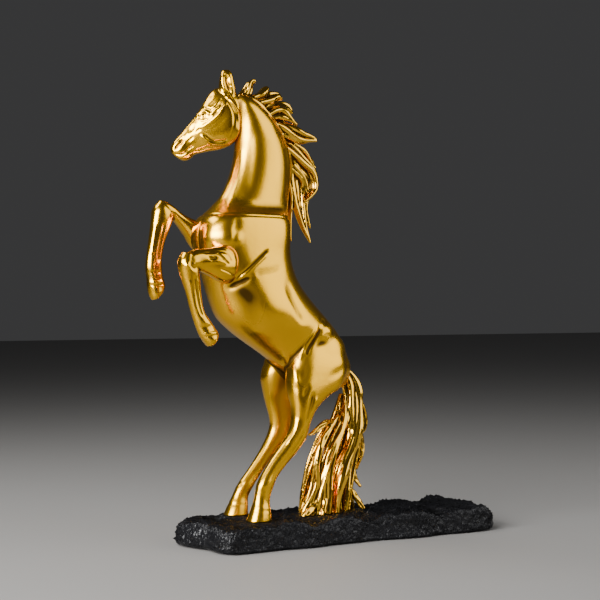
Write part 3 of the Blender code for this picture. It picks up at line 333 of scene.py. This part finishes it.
def tube(rings):
    """closed shell over a stack of rings: points and faces"""
    rings = np.array(rings)
    count, sides = rings.shape[:2]
    faces = [tuple(range(sides))[::-1], tuple(range((count - 1) * sides, count * sides))]
    for i in range(count - 1):
        for k in range(sides):
            a, b = i * sides + k, i * sides + (k + 1) % sides
            faces.append((a, b, b + sides, a + sides))
    return rings.reshape(-1, 3), faces


def rib_shell(ribs, side=1, sides=48, steps=5):
    """shell through ribs, in figure units"""
    turn = np.arange(sides) * 2 * math.pi / sides
    rings = []
    for fx, fz, bx, bz, half, y, skew, power in spline(ribs, steps):
        c, s = np.cos(turn), np.sin(turn)
        c, s = np.sign(c) * np.abs(c)**(2 / power), np.sign(s) * np.abs(s)**(2 / power)
        mx, mz, hx, hz = (fx + bx) / 2, (fz + bz) / 2, (bx - fx) / 2, (bz - fz) / 2
        rings.append(np.stack([mx + hx * c, side * (y + half * s * (1 + skew * c)), mz + hz * c], 1))
    return tube(rings)


def mass(x, y, z, rx, ry, rz, tilt, side):
    """an egg of muscle, leaning by tilt degrees in the plane of the flank"""
    lean = math.radians(tilt)
    rings = []
    for fall in np.linspace(0.06, math.pi - 0.06, 14):
        ring = []
        for turn in np.arange(24) * math.pi / 12:
            along, up = rx * math.sin(fall) * math.cos(turn), rz * math.cos(fall)
            ring.append((x + along * math.cos(lean) - up * math.sin(lean),
                         side * y + ry * math.sin(fall) * math.sin(turn),
                         z + along * math.sin(lean) + up * math.cos(lean)))
        rings.append(ring)
    return tube(rings)


def new_piece(name, mesh):
    piece = bpy.data.objects.new(name, mesh)
    bpy.context.scene.collection.objects.link(piece)
    return piece


def mesh_of(name, shells):
    """one mesh holding every shell, normals outwards, in metres"""
    mesh = bpy.data.meshes.new(name)
    points, faces, start = [], [], 0
    for p, f in shells:
        points.append(place(p))
        faces += [tuple(i + start for i in face) for face in f]
        start += len(p)
    mesh.from_pydata(np.vstack(points).tolist(), [], faces)
    work = bmesh.new()
    work.from_mesh(mesh)
    bmesh.ops.recalc_face_normals(work, faces=work.faces)
    work.to_mesh(mesh)
    work.free()
    return mesh


def bake(piece):
    """replace the mesh by what the modifiers make of it"""
    graph = bpy.context.evaluated_depsgraph_get()
    mesh = bpy.data.meshes.new_from_object(piece.evaluated_get(graph))
    piece.modifiers.clear()
    piece.data = mesh
    return piece


def fuse(name, shells, grain, smooth):
    """one even skin over overlapping shells; grain is its mesh width in figure units"""
    piece = new_piece(name, mesh_of(name, shells))
    return skin_over(piece, grain, smooth)


def skin_over(piece, grain, smooth):
    skin = piece.modifiers.new("skin", "REMESH")
    skin.mode, skin.voxel_size = "VOXEL", grain * UNIT * FINE
    if smooth:
        even = piece.modifiers.new("even", "SMOOTH")
        even.factor, even.iterations = 0.5, smooth
    return bake(piece)


def read(mesh, what="co"):
    """the points, or the normals, of a mesh as rows"""
    source = mesh.vertices if what == "co" else mesh.vertex_normals
    out = np.empty(len(mesh.vertices) * 3, np.float32)
    source.foreach_get("co" if what == "co" else "vector", out)
    return out.reshape(-1, 3).astype(float)


def write(mesh, points):
    mesh.vertices.foreach_set("co", points.astype(np.float32).ravel())
    mesh.update()


def edges_of(mesh):
    out = np.empty(len(mesh.edges) * 2, np.int32)
    mesh.edges.foreach_get("vertices", out)
    return out.reshape(-1, 2)


def spread(values, edges, times):
    """values evened out along the edges"""
    flat = values.ndim == 1
    values = values.reshape(len(values), -1).copy()
    count = np.bincount(edges.ravel(), minlength=len(values))[:, None]
    for _ in range(times):
        total = np.zeros_like(values)
        for k in range(values.shape[1]):
            total[:, k] = (np.bincount(edges[:, 0], values[edges[:, 1], k], len(values))
                           + np.bincount(edges[:, 1], values[edges[:, 0], k], len(values)))
        values = 0.5 * values + 0.5 * total / np.maximum(count, 1)
    return values.ravel() if flat else values


def figure(points):
    """metres back to figure units"""
    return (points - np.array([HOOF_X, 0.0, SOLE])) / UNIT


def to_line(flat, line):
    """distance of each point to a line, and how far along it lies from 0 to 1"""
    if len(line) == 1:
        return np.linalg.norm(flat - line[0], axis=1), np.full(len(flat), 0.5)
    best, along = np.full(len(flat), 1e9), np.zeros(len(flat))
    last = len(line) - 1
    for i in range(last):
        step = line[i + 1] - line[i]
        t = np.clip(((flat - line[i]) @ step) / (step @ step), 0, 1)
        far = np.linalg.norm(flat - line[i] - t[:, None] * step, axis=1)
        nearer = far < best
        best[nearer], along[nearer] = far[nearer], ((i + t) / last)[nearer]
    return best, along


def faded(along, line, width):
    """1 along a line, dying away at both ends"""
    length = np.linalg.norm(np.diff(line, axis=0), axis=1).sum()
    ends = min(0.48, max(0.15, 3.5 * width / length))
    t = np.clip(np.minimum(along, 1 - along) / ends, 0, 1)
    return t * t * (3 - 2 * t)


def draw(piece, lines, solid=()):
    """draw the lines into the skin, along its normals"""
    mesh = piece.data
    points, normals = read(mesh), read(mesh, "normal")
    at, shift = figure(points), np.zeros(len(points))
    for depth, width, side, path in lines:
        line = np.array(path, float) if len(path) == 1 else spline(path, 5)
        low, high = line.min(0) - 3 * width, line.max(0) + 3 * width
        near = np.all((at[:, [0, 2]] > low) & (at[:, [0, 2]] < high), axis=1)
        if side in (-1, 1):
            near &= at[:, 1] * side > 0
        near = np.flatnonzero(near)
        far, along = to_line(at[near][:, [0, 2]], line)
        weight = np.exp(-(far / width)**2) * (1 if len(path) == 1 else faded(along, line, width))
        if side != 0:
            weight *= np.clip(normals[near, 1] * np.sign(at[near, 1]) * 2.2 - 0.1, 0, 1)
        shift[near] += depth * weight
    for depth, width, path in solid:
        line = spline(path, 5)
        far, along = to_line(at, line)
        shift += depth * np.exp(-(far / width)**2) * faded(along, line, width)
    write(mesh, points + normals * shift[:, None] * UNIT)
    return piece


def note_hollow_shade(piece, reach, dark=(), inward_shade=0.0):
    """store how deep in a hollow each point lies, so that the finish can paint shade there; dark names
    recesses given more painted shade, and the last argument is how much painted shade the faces turned to the
    middle of the body get"""
    mesh = piece.data
    edges = edges_of(mesh)
    points, normals = read(mesh), read(mesh, "normal")
    near = spread(points, edges, reach)
    far = spread(near, edges, 4 * reach)
    wide = 0.7 * (far - near)
    hollow_shade = np.einsum("ij,ij->i", near - points + wide, normals) / UNIT
    hollow_shade = np.maximum(spread(hollow_shade, edges, 2), 0)
    at = figure(points)[:, [0, 2]]
    for strength, width, path in dark:
        line = spline(path, 5)
        far, along = to_line(at, line)
        flank = 0.35 + 0.65 * np.abs(normals[:, 1])
        hollow_shade += strength * np.exp(-(far / width)**2) * faded(along, line, width) * flank
    # painted shade on the faces turned to the middle of the body
    hollow_shade += inward_shade * np.clip(-normals[:, 1] * np.sign(points[:, 1]), 0, 1)
    # the stored value is the strength of the painted shade at each point
    layer = mesh.attributes.get("hollow_shade") or mesh.attributes.new("hollow_shade", "FLOAT", "POINT")
    layer.data.foreach_set("value", hollow_shade.astype(np.float32))
    mesh.shade_smooth()
    return piece


def cut_at_sole(piece):
    """cut a piece off level with the soles and close it"""
    work = bmesh.new()
    work.from_mesh(piece.data)
    geometry = work.verts[:] + work.edges[:] + work.faces[:]
    cut = bmesh.ops.bisect_plane(work, geom=geometry, plane_co=(0, 0, SOLE), plane_no=(0, 0, 1),
                                 clear_inner=True)
    rim = [e for e in cut["geom_cut"] if isinstance(e, bmesh.types.BMEdge)]
    bmesh.ops.holes_fill(work, edges=rim)
    bmesh.ops.triangulate(work, faces=[f for f in work.faces if len(f.verts) > 4])
    work.to_mesh(piece.data)
    work.free()
    return piece


# ---------------------------------------------------------------- castings

def make_trunk():
    masses = [mass(*m, side) for m in MUSCLES for side in (-1, 1)]
    trunk = fuse("trunk", [rib_shell(TRUNK), rib_shell(LEFT_HIND, -1), rib_shell(RIGHT_HIND, 1)] + masses,
                 grain=0.85, smooth=34)
    draw(trunk, TRUNK_LINES, CHEST_LINES)
    smooth_a_little(trunk, 2)
    return cut_at_sole(trunk)


def make_neck():
    neck = fuse("neck", [rib_shell(NECK)], grain=0.7, smooth=12)
    draw(neck, NECK_LINES)
    smooth_a_little(neck, 3)
    return neck


def make_head():
    head = fuse("head", [rib_shell(HEAD), rib_shell(EAR, -1), rib_shell(EAR, 1)], grain=0.45, smooth=9)
    draw(head, HEAD_LINES)
    draw(head, EAR_LINES)
    smooth_a_little(head, 2)
    turn = Matrix.Rotation(math.radians(-HEAD_TURN), 4, "Z")
    pivot = Matrix.Translation(Vector(place((HEAD_PIVOT, 0, 0))[0]))
    head.data.transform(pivot @ turn @ pivot.inverted() @ Matrix.Translation((HEAD_PIVOT * UNIT, 0, 0)))
    return head


def smooth_a_little(piece, times):
    edges = edges_of(piece.data)
    write(piece.data, spread(read(piece.data), edges, times))


def make_foreleg(name, side, arm, cannon, lines):
    leg = fuse(name, [rib_shell(arm, side), rib_shell(cannon, side)], grain=0.55, smooth=9)
    return draw(leg, lines)


# ---------------------------------------------------------------- hair

def strand_tree(finish):
    """round strands over a net of lines whose points carry their own radius"""
    tree = bpy.data.node_groups.new("combed strands", "GeometryNodeTree")
    face = tree.interface
    face.new_socket("Lines", in_out="INPUT", socket_type="NodeSocketGeometry")
    face.new_socket("Sides", in_out="INPUT", socket_type="NodeSocketInt")
    face.new_socket("Fullness", in_out="INPUT", socket_type="NodeSocketFloat")
    face.new_socket("Strands", in_out="OUTPUT", socket_type="NodeSocketGeometry")
    add, link = tree.nodes.new, tree.links.new
    start, end = add("NodeGroupInput"), add("NodeGroupOutput")
    curve, radius = add("GeometryNodeMeshToCurve"), add("GeometryNodeInputNamedAttribute")
    circle = add("GeometryNodeCurvePrimitiveCircle")
    radius.data_type = "FLOAT"
    radius.inputs["Name"].default_value = "radius"
    full, sized = add("ShaderNodeMath"), add("GeometryNodeSetCurveRadius")
    body = add("GeometryNodeCurveToMesh")
    full.operation = "MULTIPLY"
    circle.inputs["Radius"].default_value = 1.0
    body.inputs["Fill Caps"].default_value = True
    real, paint = add("GeometryNodeRealizeInstances"), add("GeometryNodeSetMaterial")
    paint.inputs["Material"].default_value = finish
    link(start.outputs["Lines"], curve.inputs["Mesh"])
    link(radius.outputs["Attribute"], full.inputs[0])
    link(start.outputs["Fullness"], full.inputs[1])
    link(curve.outputs["Curve"], sized.inputs["Curve"])
    link(full.outputs[0], sized.inputs["Radius"])
    link(start.outputs["Sides"], circle.inputs["Resolution"])
    link(sized.outputs["Curve"], body.inputs["Curve"])
    link(circle.outputs["Curve"], body.inputs["Profile Curve"])
    link(full.outputs[0], body.inputs["Scale"])
    link(body.outputs["Mesh"], real.inputs["Geometry"])
    link(real.outputs["Geometry"], paint.inputs["Geometry"])
    link(paint.outputs["Geometry"], end.inputs["Strands"])
    return tree


def set_inputs(modifier, **values):
    """fill a modifier's named inputs"""
    for item in modifier.node_group.interface.items_tree:
        if item.item_type == "SOCKET" and item.in_out == "INPUT" and item.name in values:
            modifier[item.identifier] = values[item.name]


def strands_mesh(name, strands, finish):
    """strands as closed round bodies; each strand is a list of points and a list of radii"""
    points, edges, radii = [], [], []
    for line, width in strands:
        start = len(points)
        points += [tuple(p) for p in place(line)]
        edges += [(start + i, start + i + 1) for i in range(len(line) - 1)]
        radii += list(np.array(width) * UNIT)
    net = bpy.data.meshes.new(name + " lines")
    net.from_pydata(points, edges, [])
    layer = net.attributes.new("radius", "FLOAT", "POINT")
    layer.data.foreach_set("value", np.array(radii, np.float32))
    holder = new_piece(name, net)
    grow = holder.modifiers.new("strands", "NODES")
    grow.node_group = strand_tree(finish)
    set_inputs(grow, Sides=8, Fullness=1.0)
    return bake(holder)


def comb(width, thick, path, tip, count, seed, wave, root, knots):
    """split one lock into strands that run side by side, sway and meet at the tip; root and tip
    are how full it is at its ends, knots how much each strand swells and thins"""
    rng = np.random.default_rng(seed)
    line = spline(path, 9)
    along = np.linspace(0, 1, len(line))
    ahead = np.gradient(line, axis=0)
    ahead /= np.linalg.norm(ahead, axis=1)[:, None]
    flat = np.cross([0, 1, 0], ahead)
    flat /= np.linalg.norm(flat, axis=1)[:, None]
    out = np.cross(ahead, flat)
    full = np.minimum(np.minimum(root + 2.2 * along, 1.0), tip + 1.55 * (1 - along)) / 2
    strands = []
    for k in range(count):
        turn = 2 * math.pi * (k + rng.uniform(-0.18, 0.18)) / count
        sway = rng.uniform(0, 6.28)
        angle = turn + wave * np.sin(along * rng.uniform(3, 5) + sway) + 0.5 * wave * along
        across = np.cos(angle) * width * full * 0.72
        above = np.sin(angle) * thick * full * 0.72
        body = line + flat * across[:, None] + out * above[:, None]
        size = (width + thick) / 4 * full * 2 * rng.uniform(0.40, 0.52) * (5.5 / (count + 1.0))
        size *= 1 + knots * np.sin(along * rng.uniform(14, 24) + sway)
        strands.append((body, np.maximum(size, THINNEST)))
    core = line, (width + thick) / 4 * full * 2 * 0.55
    return strands + [core]


def make_hair(name, locks, counts, grain, wave, root, knots, finish):
    """every lock combed into strands, then one skin over them all; counts says how many strands
    a lock has from its number and its width"""
    strands = []
    for i, lock in enumerate(locks):
        width, thick, path = lock[:3]
        tip = lock[3] if len(lock) > 3 else FINE_TIP
        strands += comb(width, thick, path, tip, counts(i, width), 40 + i, wave, root, knots)
    hair = strands_mesh(name, strands, finish)
    return skin_over(hair, grain, 1)


def mane_strands(number, width):
    return 3 if width < 12 else 4


def tail_strands(number, width):
    """the first lock, down from the dock, is nearly smooth; the wide ones are combed fine"""
    if number == 0:
        return 2
    return 10 if width < 12 else 18


# ---------------------------------------------------------------- plinth

def edge_ring(scale, count):
    """the plinth's outline drawn in by a scale, as points x, y in metres"""
    steps = 4
    loop = spline(EDGE[-2:] + EDGE + EDGE[:2], steps)[2 * steps:-2 * steps - 1]
    pick = np.linspace(0, len(loop), count, endpoint=False)
    here = pick.astype(int)
    following = (here + 1) % len(loop)
    ring = loop[here] + (loop[following] - loop[here]) * (pick % 1)[:, None]
    half = (PLINTH_HIGH - PLINTH_LOW) / 2
    return ring * scale * np.array([half.x * 1.015, half.y * 1.03])


def footing(x, y):
    """1 where a hoof or the tail stands, falling to 0 around it"""
    best = 0.0
    for fx, fy, reach in FEET:
        px, py, _ = place((fx, fy, 0))[0]
        far = math.hypot(x - px, y - py) / (reach * UNIT)
        best = max(best, min(1.0, max(0.0, (1.4 - far) / 0.4)))
    return best


def swell(x, y, z, layers):
    """height of the smooth swellings, in metres"""
    return sum(height * noise.noise(Vector((x / size + seed, y / size - seed, z / size)))
               for height, size, seed in layers)


def chips(x, y, z):
    """short ridges from 0 to 1, each patch of them lying its own way"""
    lean = 1.6 * noise.noise(Vector((x / 0.026 + 3.1, y / 0.026, z / 0.02))) + 0.6
    c, s = math.cos(lean * 2.2), math.sin(lean * 2.2)
    u, v = x * c + y * s, -x * s + y * c
    near = noise.voronoi(Vector((u / RIDGE[0], v / RIDGE[1], z / RIDGE[2])))[0]
    return max(0.0, min(1.0, (near[1] - near[0]) * 1.5))


def plinth_net(low, top):
    """smooth block as a fine net of rings, going up the side and then in across the top"""
    count = int(760 / FINE)
    side = [(0.985, 0.0), (0.997, 0.05), (1.003, 0.1), (1.005, 0.17), (0.997, 0.25), (1.0, 0.33), (1.0, 0.41),
            (0.998, 0.49), (0.995, 0.57), (0.992, 0.65), (0.987, 0.72), (0.981, 0.79), (0.973, 0.86),
            (0.964, 0.92), (0.953, 0.965), (0.941, 0.99), (0.928, 1.0)]
    profile = side + [(s, 1.0) for s in np.linspace(0.912, 0.02, int(66 / FINE))]
    rings = []
    for scale, level in profile:
        ring = edge_ring(scale, count)
        rings.append(np.column_stack([ring, np.full(count, low + (top - low) * level)]))
    points, faces = tube(rings)
    mesh = bpy.data.meshes.new("plinth")
    mesh.from_pydata(points.tolist(), [], faces)
    mesh.update()
    return mesh


def make_plinth():
    """rough block: lumps and chips are pushed out of its side, and the top sinks in waves"""
    low, top = PLINTH_LOW.z, SOLE - CLEAR
    mesh = plinth_net(low, top)
    plinth = new_piece("plinth", mesh)
    points, normals = read(mesh), read(mesh, "normal")
    shift = np.zeros(len(points))
    drop = np.zeros(len(points))
    for i, (x, y, z) in enumerate(points):
        level = (z - low) / (top - low)
        if level < 0.02:
            continue
        free = 1 - footing(x, y) if level > 0.9 else 1.0
        grit = 0.0021 * (chips(x, y, z) - 0.8) + swell(x, y, z, GRAINS)
        lower = 1 - min(1.0, max(0.0, (level - 0.55) / 0.4))
        shift[i] = grit * (0.35 + 0.65 * free) + (swell(x, y, z, SIDE_LUMPS) - 0.0006) * lower
        if level > 0.6:
            sink = 0.0012 + swell(x, y, 0, TOP_WAVES)
            drop[i] = max(sink, -0.0012) * free * min(1.0, (level - 0.6) / 0.35)
    points += normals * shift[:, None]
    points[:, 2] -= drop
    points[:, 2] = np.maximum(points[:, 2], low)
    write(mesh, points)
    work = bmesh.new()
    work.from_mesh(mesh)
    bmesh.ops.triangulate(work, faces=[f for f in work.faces if len(f.verts) > 4])
    bmesh.ops.recalc_face_normals(work, faces=work.faces)
    work.to_mesh(mesh)
    work.free()
    return plinth


# ---------------------------------------------------------------- finishes

class Value:
    """a number that varies over the surface; the usual operators add its Math nodes"""

    def __init__(self, finish, socket):
        self.finish, self.socket = finish, socket

    def _math(self, operation, *terms):
        terms = [t.socket if isinstance(t, Value) else t for t in terms]
        return self.finish.node("ShaderNodeMath", {"operation": operation}, dict(enumerate(terms)))

    def __add__(self, other): return self._math("ADD", self, other)
    def __radd__(self, other): return self._math("ADD", other, self)
    def __sub__(self, other): return self._math("SUBTRACT", self, other)
    def __mul__(self, other): return self._math("MULTIPLY", self, other)
    def __rmul__(self, other): return self._math("MULTIPLY", other, self)
    def clamped(self): return self._math("MAXIMUM", self._math("MINIMUM", self, 1.0), 0.0)


class Finish:
    """one material and the nodes that make it"""

    def __init__(self, name, **constants):
        self.material = bpy.data.materials.new(name)
        self.material.use_nodes = True
        self.tree = self.material.node_tree
        self.shader = self.tree.nodes["Principled BSDF"]
        for socket, value in constants.items():
            self.shader.inputs[socket.replace("_", " ")].default_value = value

    def node(self, kind, settings=None, values=None, output=0):
        """any node: its settings first, then the values or links of its sockets"""
        made = self.tree.nodes.new(kind)
        for key, value in (settings or {}).items():
            setattr(made, key, value)
        for key, value in (values or {}).items():
            self.feed(made.inputs[key], value)
        return Value(self, made.outputs[output])

    def feed(self, socket, value):
        if isinstance(value, Value):
            value = value.socket
        if isinstance(value, bpy.types.NodeSocket):
            self.tree.links.new(value, socket)
        else:
            socket.default_value = value

    def place(self):
        return self.node("ShaderNodeTexCoord", output="Object")

    def noise(self, scale, detail=3.0, roughness=0.5):
        return self.node("ShaderNodeTexNoise", {}, {"Vector": self.place(), "Scale": scale, "Detail": detail,
                                                    "Roughness": roughness})

    def attribute(self, name):
        return self.node("ShaderNodeAttribute", {"attribute_name": name}, {}, "Fac")

    def blend(self, share, first, second):
        """colour between two colours"""
        return self.node("ShaderNodeMix", {"data_type": "RGBA"}, {0: share, 6: first, 7: second}, 2)

    def bump(self, height, distance, strength=1.0):
        return self.node("ShaderNodeBump", {}, {"Height": height, "Distance": distance, "Strength": strength})

    def give(self, **links):
        for socket, value in links.items():
            self.feed(self.shader.inputs[socket.replace("_", " ")], value)
        return self.material


def gilt(name, polish, depth=1.0, pale=0.0):
    """gilded and lacquered casting; polish is its mean roughness, depth how dark the painted shade in its
    hollows goes, pale how far the whole gold is lightened to a paler gold"""
    finish = Finish(name, Metallic=1.0)
    cloud = finish.noise(38.0, 2.0)
    grain = finish.noise(900.0, 2.0)
    # painted shade: the gilding darkens to a near black brown in its hollows and in the recesses listed above
    hollow_shade = (finish.attribute("hollow_shade") * DARKENING * depth - UNSHADED_DEPTH).clamped()
    warm = finish.blend(cloud, (0.87, 0.450, 0.008, 1), (0.90, 0.490, 0.014, 1))
    warm = finish.blend(pale, warm, (0.95, 0.76, 0.36, 1))
    tone = finish.blend(hollow_shade, warm, (0.07, 0.036, 0.006, 1))
    rough = (polish - 0.03 + 0.05 * cloud + 0.02 * grain + 0.22 * hollow_shade).clamped()
    skin = finish.bump(finish.noise(260.0, 3.0), 0.00012, 0.35)
    return finish.give(Base_Color=tone, Roughness=rough, Normal=skin)


def black_rock():
    """near black stone, glossy on its ridges, with specks that catch the light"""
    finish = Finish("black rock", Metallic=0.0, Coat_Roughness=0.15, Specular_IOR_Level=0.13)
    cloud = finish.noise(60.0, 3.0)
    hollow_shade = (finish.attribute("hollow_shade") * 3.0).clamped()
    fleck = ((finish.noise(1500.0, 2.0) - 0.56) * 9.0).clamped()
    tone = finish.blend(cloud, (0.003, 0.003, 0.0035, 1), (0.010, 0.010, 0.011, 1))
    # painted shade: the rock goes blacker in its hollows
    tone = finish.blend(hollow_shade, tone, (0.002, 0.002, 0.002, 1))
    rough = (0.13 + 0.06 * cloud - 0.04 * fleck + 0.3 * hollow_shade).clamped()
    skin = finish.bump(finish.noise(350.0, 2.0, 0.5), 0.0012, 1.0)
    return finish.give(Base_Color=tone, Roughness=rough, Coat_Weight=0.8 * fleck, Normal=skin)


def felt():
    finish = Finish("black felt", Metallic=0.0, Sheen_Weight=0.3)
    nap = finish.noise(1400.0, 4.0, 0.7)
    tone = finish.blend(nap, (0.012, 0.012, 0.013, 1), (0.035, 0.034, 0.036, 1))
    return finish.give(Base_Color=tone, Roughness=0.9 + 0.08 * nap, Normal=finish.bump(nap, 0.0005, 0.8))


def metal(name, dark, light, roughness):
    """drawn or plated metal with fine turning marks"""
    finish = Finish(name, Metallic=1.0)
    marks = finish.noise(700.0, 3.0, 0.6)
    return finish.give(Base_Color=finish.blend(marks, dark, light), Roughness=roughness + 0.12 * marks,
                       Normal=finish.bump(marks, 0.0001, 0.4))


def plain(name, colour, roughness):
    finish = Finish(name, Roughness=roughness)
    finish.shader.inputs["Base Color"].default_value = colour
    return finish.material


def dress(piece, finish, *nodes, slot="gilt"):
    """finish a piece and let it stand for its nodes"""
    piece.data.materials.clear()
    piece.data.materials.append(finish)
    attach(piece, "root")
    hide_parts(*nodes)
    return piece


def dress_node(name, finish):
    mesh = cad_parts[name].data
    mesh.materials.clear()
    mesh.materials.append(finish)


# ---------------------------------------------------------------- studio

def soft_light(name, around, up, distance, width, height, glow, spread=180):
    """softbox facing the figure; around is counted in degrees to the right of the camera,
    glow is its brightness, and spread how wide it shines"""
    lamp = bpy.data.lights.new(name, "AREA")
    lamp.shape, lamp.size, lamp.size_y = "RECTANGLE", width, height
    lamp.energy, lamp.spread = glow * math.pi * width * height, math.radians(spread)
    holder = bpy.data.objects.new(name, lamp)
    bpy.context.scene.collection.objects.link(holder)
    turn, rise = math.radians(around - 90 - CAMERA_TURN), math.radians(up)
    outward = Vector((math.cos(turn) * math.cos(rise), math.sin(turn) * math.cos(rise), math.sin(rise)))
    holder.location = Vector(MIDDLE) + outward * distance
    holder.rotation_euler = outward.to_track_quat("Z", "Y").to_euler()
    return holder


def make_studio():
    world = bpy.data.worlds.new("studio")
    world.use_nodes = True
    world.node_tree.nodes["Background"].inputs[0].default_value = (0.045, 0.045, 0.046, 1)
    bpy.context.scene.world = world
    work = bmesh.new()
    bmesh.ops.create_grid(work, x_segments=2, y_segments=2, size=6.0)
    mesh = bpy.data.meshes.new("floor")
    work.to_mesh(mesh)
    work.free()
    floor = new_piece("floor", mesh)
    mesh.materials.append(plain("pale floor", (0.26, 0.252, 0.242, 1), 0.6))
    soft_light("left softbox", around=-33, up=16, distance=1.35, width=1.15, height=0.6, glow=10, spread=100)
    soft_light("right softbox", around=76, up=20, distance=1.25, width=1.12, height=1.0, glow=2.8)
    soft_light("top softbox", around=-88, up=50, distance=1.2, width=0.8, height=0.4, glow=8)


def make_camera():
    """long lens, held level at the height of the figure's middle"""
    lens = bpy.data.cameras.new("camera")
    lens.lens, lens.sensor_width = 93, 36
    camera = bpy.data.objects.new("camera", lens)
    bpy.context.scene.collection.objects.link(camera)
    camera.location = (-0.6926, -1.0853, 0.196)
    camera.rotation_euler = (math.radians(90), 0, math.radians(-CAMERA_TURN))
    bpy.context.scene.camera = camera


make_camera()
make_studio()

satin, bright = gilt("satin gilt", polish=0.24), gilt("bright gilt", polish=0.20)
# the hair's gilt paints deeper shade between its strands
hair_gilt = gilt("hair gilt", polish=0.13, depth=2.6, pale=0.08)
# every piece stores its hollows for painted shade; the trunk's faces turned inwards get more
dress(note_hollow_shade(make_trunk(), 6, PAINTED_SHADE_TRUNK, inward_shade=0.07), satin, "trunk_casting")
dress(note_hollow_shade(make_neck(), 6, PAINTED_SHADE_NECK), satin, "neck_casting")
dress(note_hollow_shade(make_head(), 5), bright, "head_casting")
dress(note_hollow_shade(make_foreleg("left_foreleg", -1, LEFT_ARM, LEFT_CANNON, LEFT_FORE_LINES), 6), bright,
      "left_foreleg_casting")
dress(note_hollow_shade(make_foreleg("right_foreleg", 1, RIGHT_ARM, RIGHT_CANNON, RIGHT_FORE_LINES), 6), bright,
      "right_foreleg_casting")
mane = make_hair("mane", MANE, mane_strands, grain=0.55, wave=0.7, root=0.8, knots=0.05, finish=hair_gilt)
dress(note_hollow_shade(mane, 4), hair_gilt, "mane_casting")
tail = make_hair("tail", TAIL, tail_strands, grain=0.6, wave=0.9, root=0.35, knots=0.2, finish=hair_gilt)
cut_at_sole(tail)
dress(note_hollow_shade(tail, 4), hair_gilt, "tail_casting")
dress(note_hollow_shade(make_plinth(), 4), black_rock(), "rock_plinth", slot="rock")

rod_finish = metal("drawn brass", (0.60, 0.42, 0.16, 1), (0.72, 0.53, 0.22, 1), 0.3)
steel_finish = metal("zinc plate", (0.48, 0.49, 0.51, 1), (0.62, 0.63, 0.65, 1), 0.35)
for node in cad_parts:
    if node.endswith("_pin"):
        dress_node(node, rod_finish)
    elif node.endswith(("_stud", "_washer", "_nut")):
        dress_node(node, steel_finish)
dress_node("felt_pad", felt())
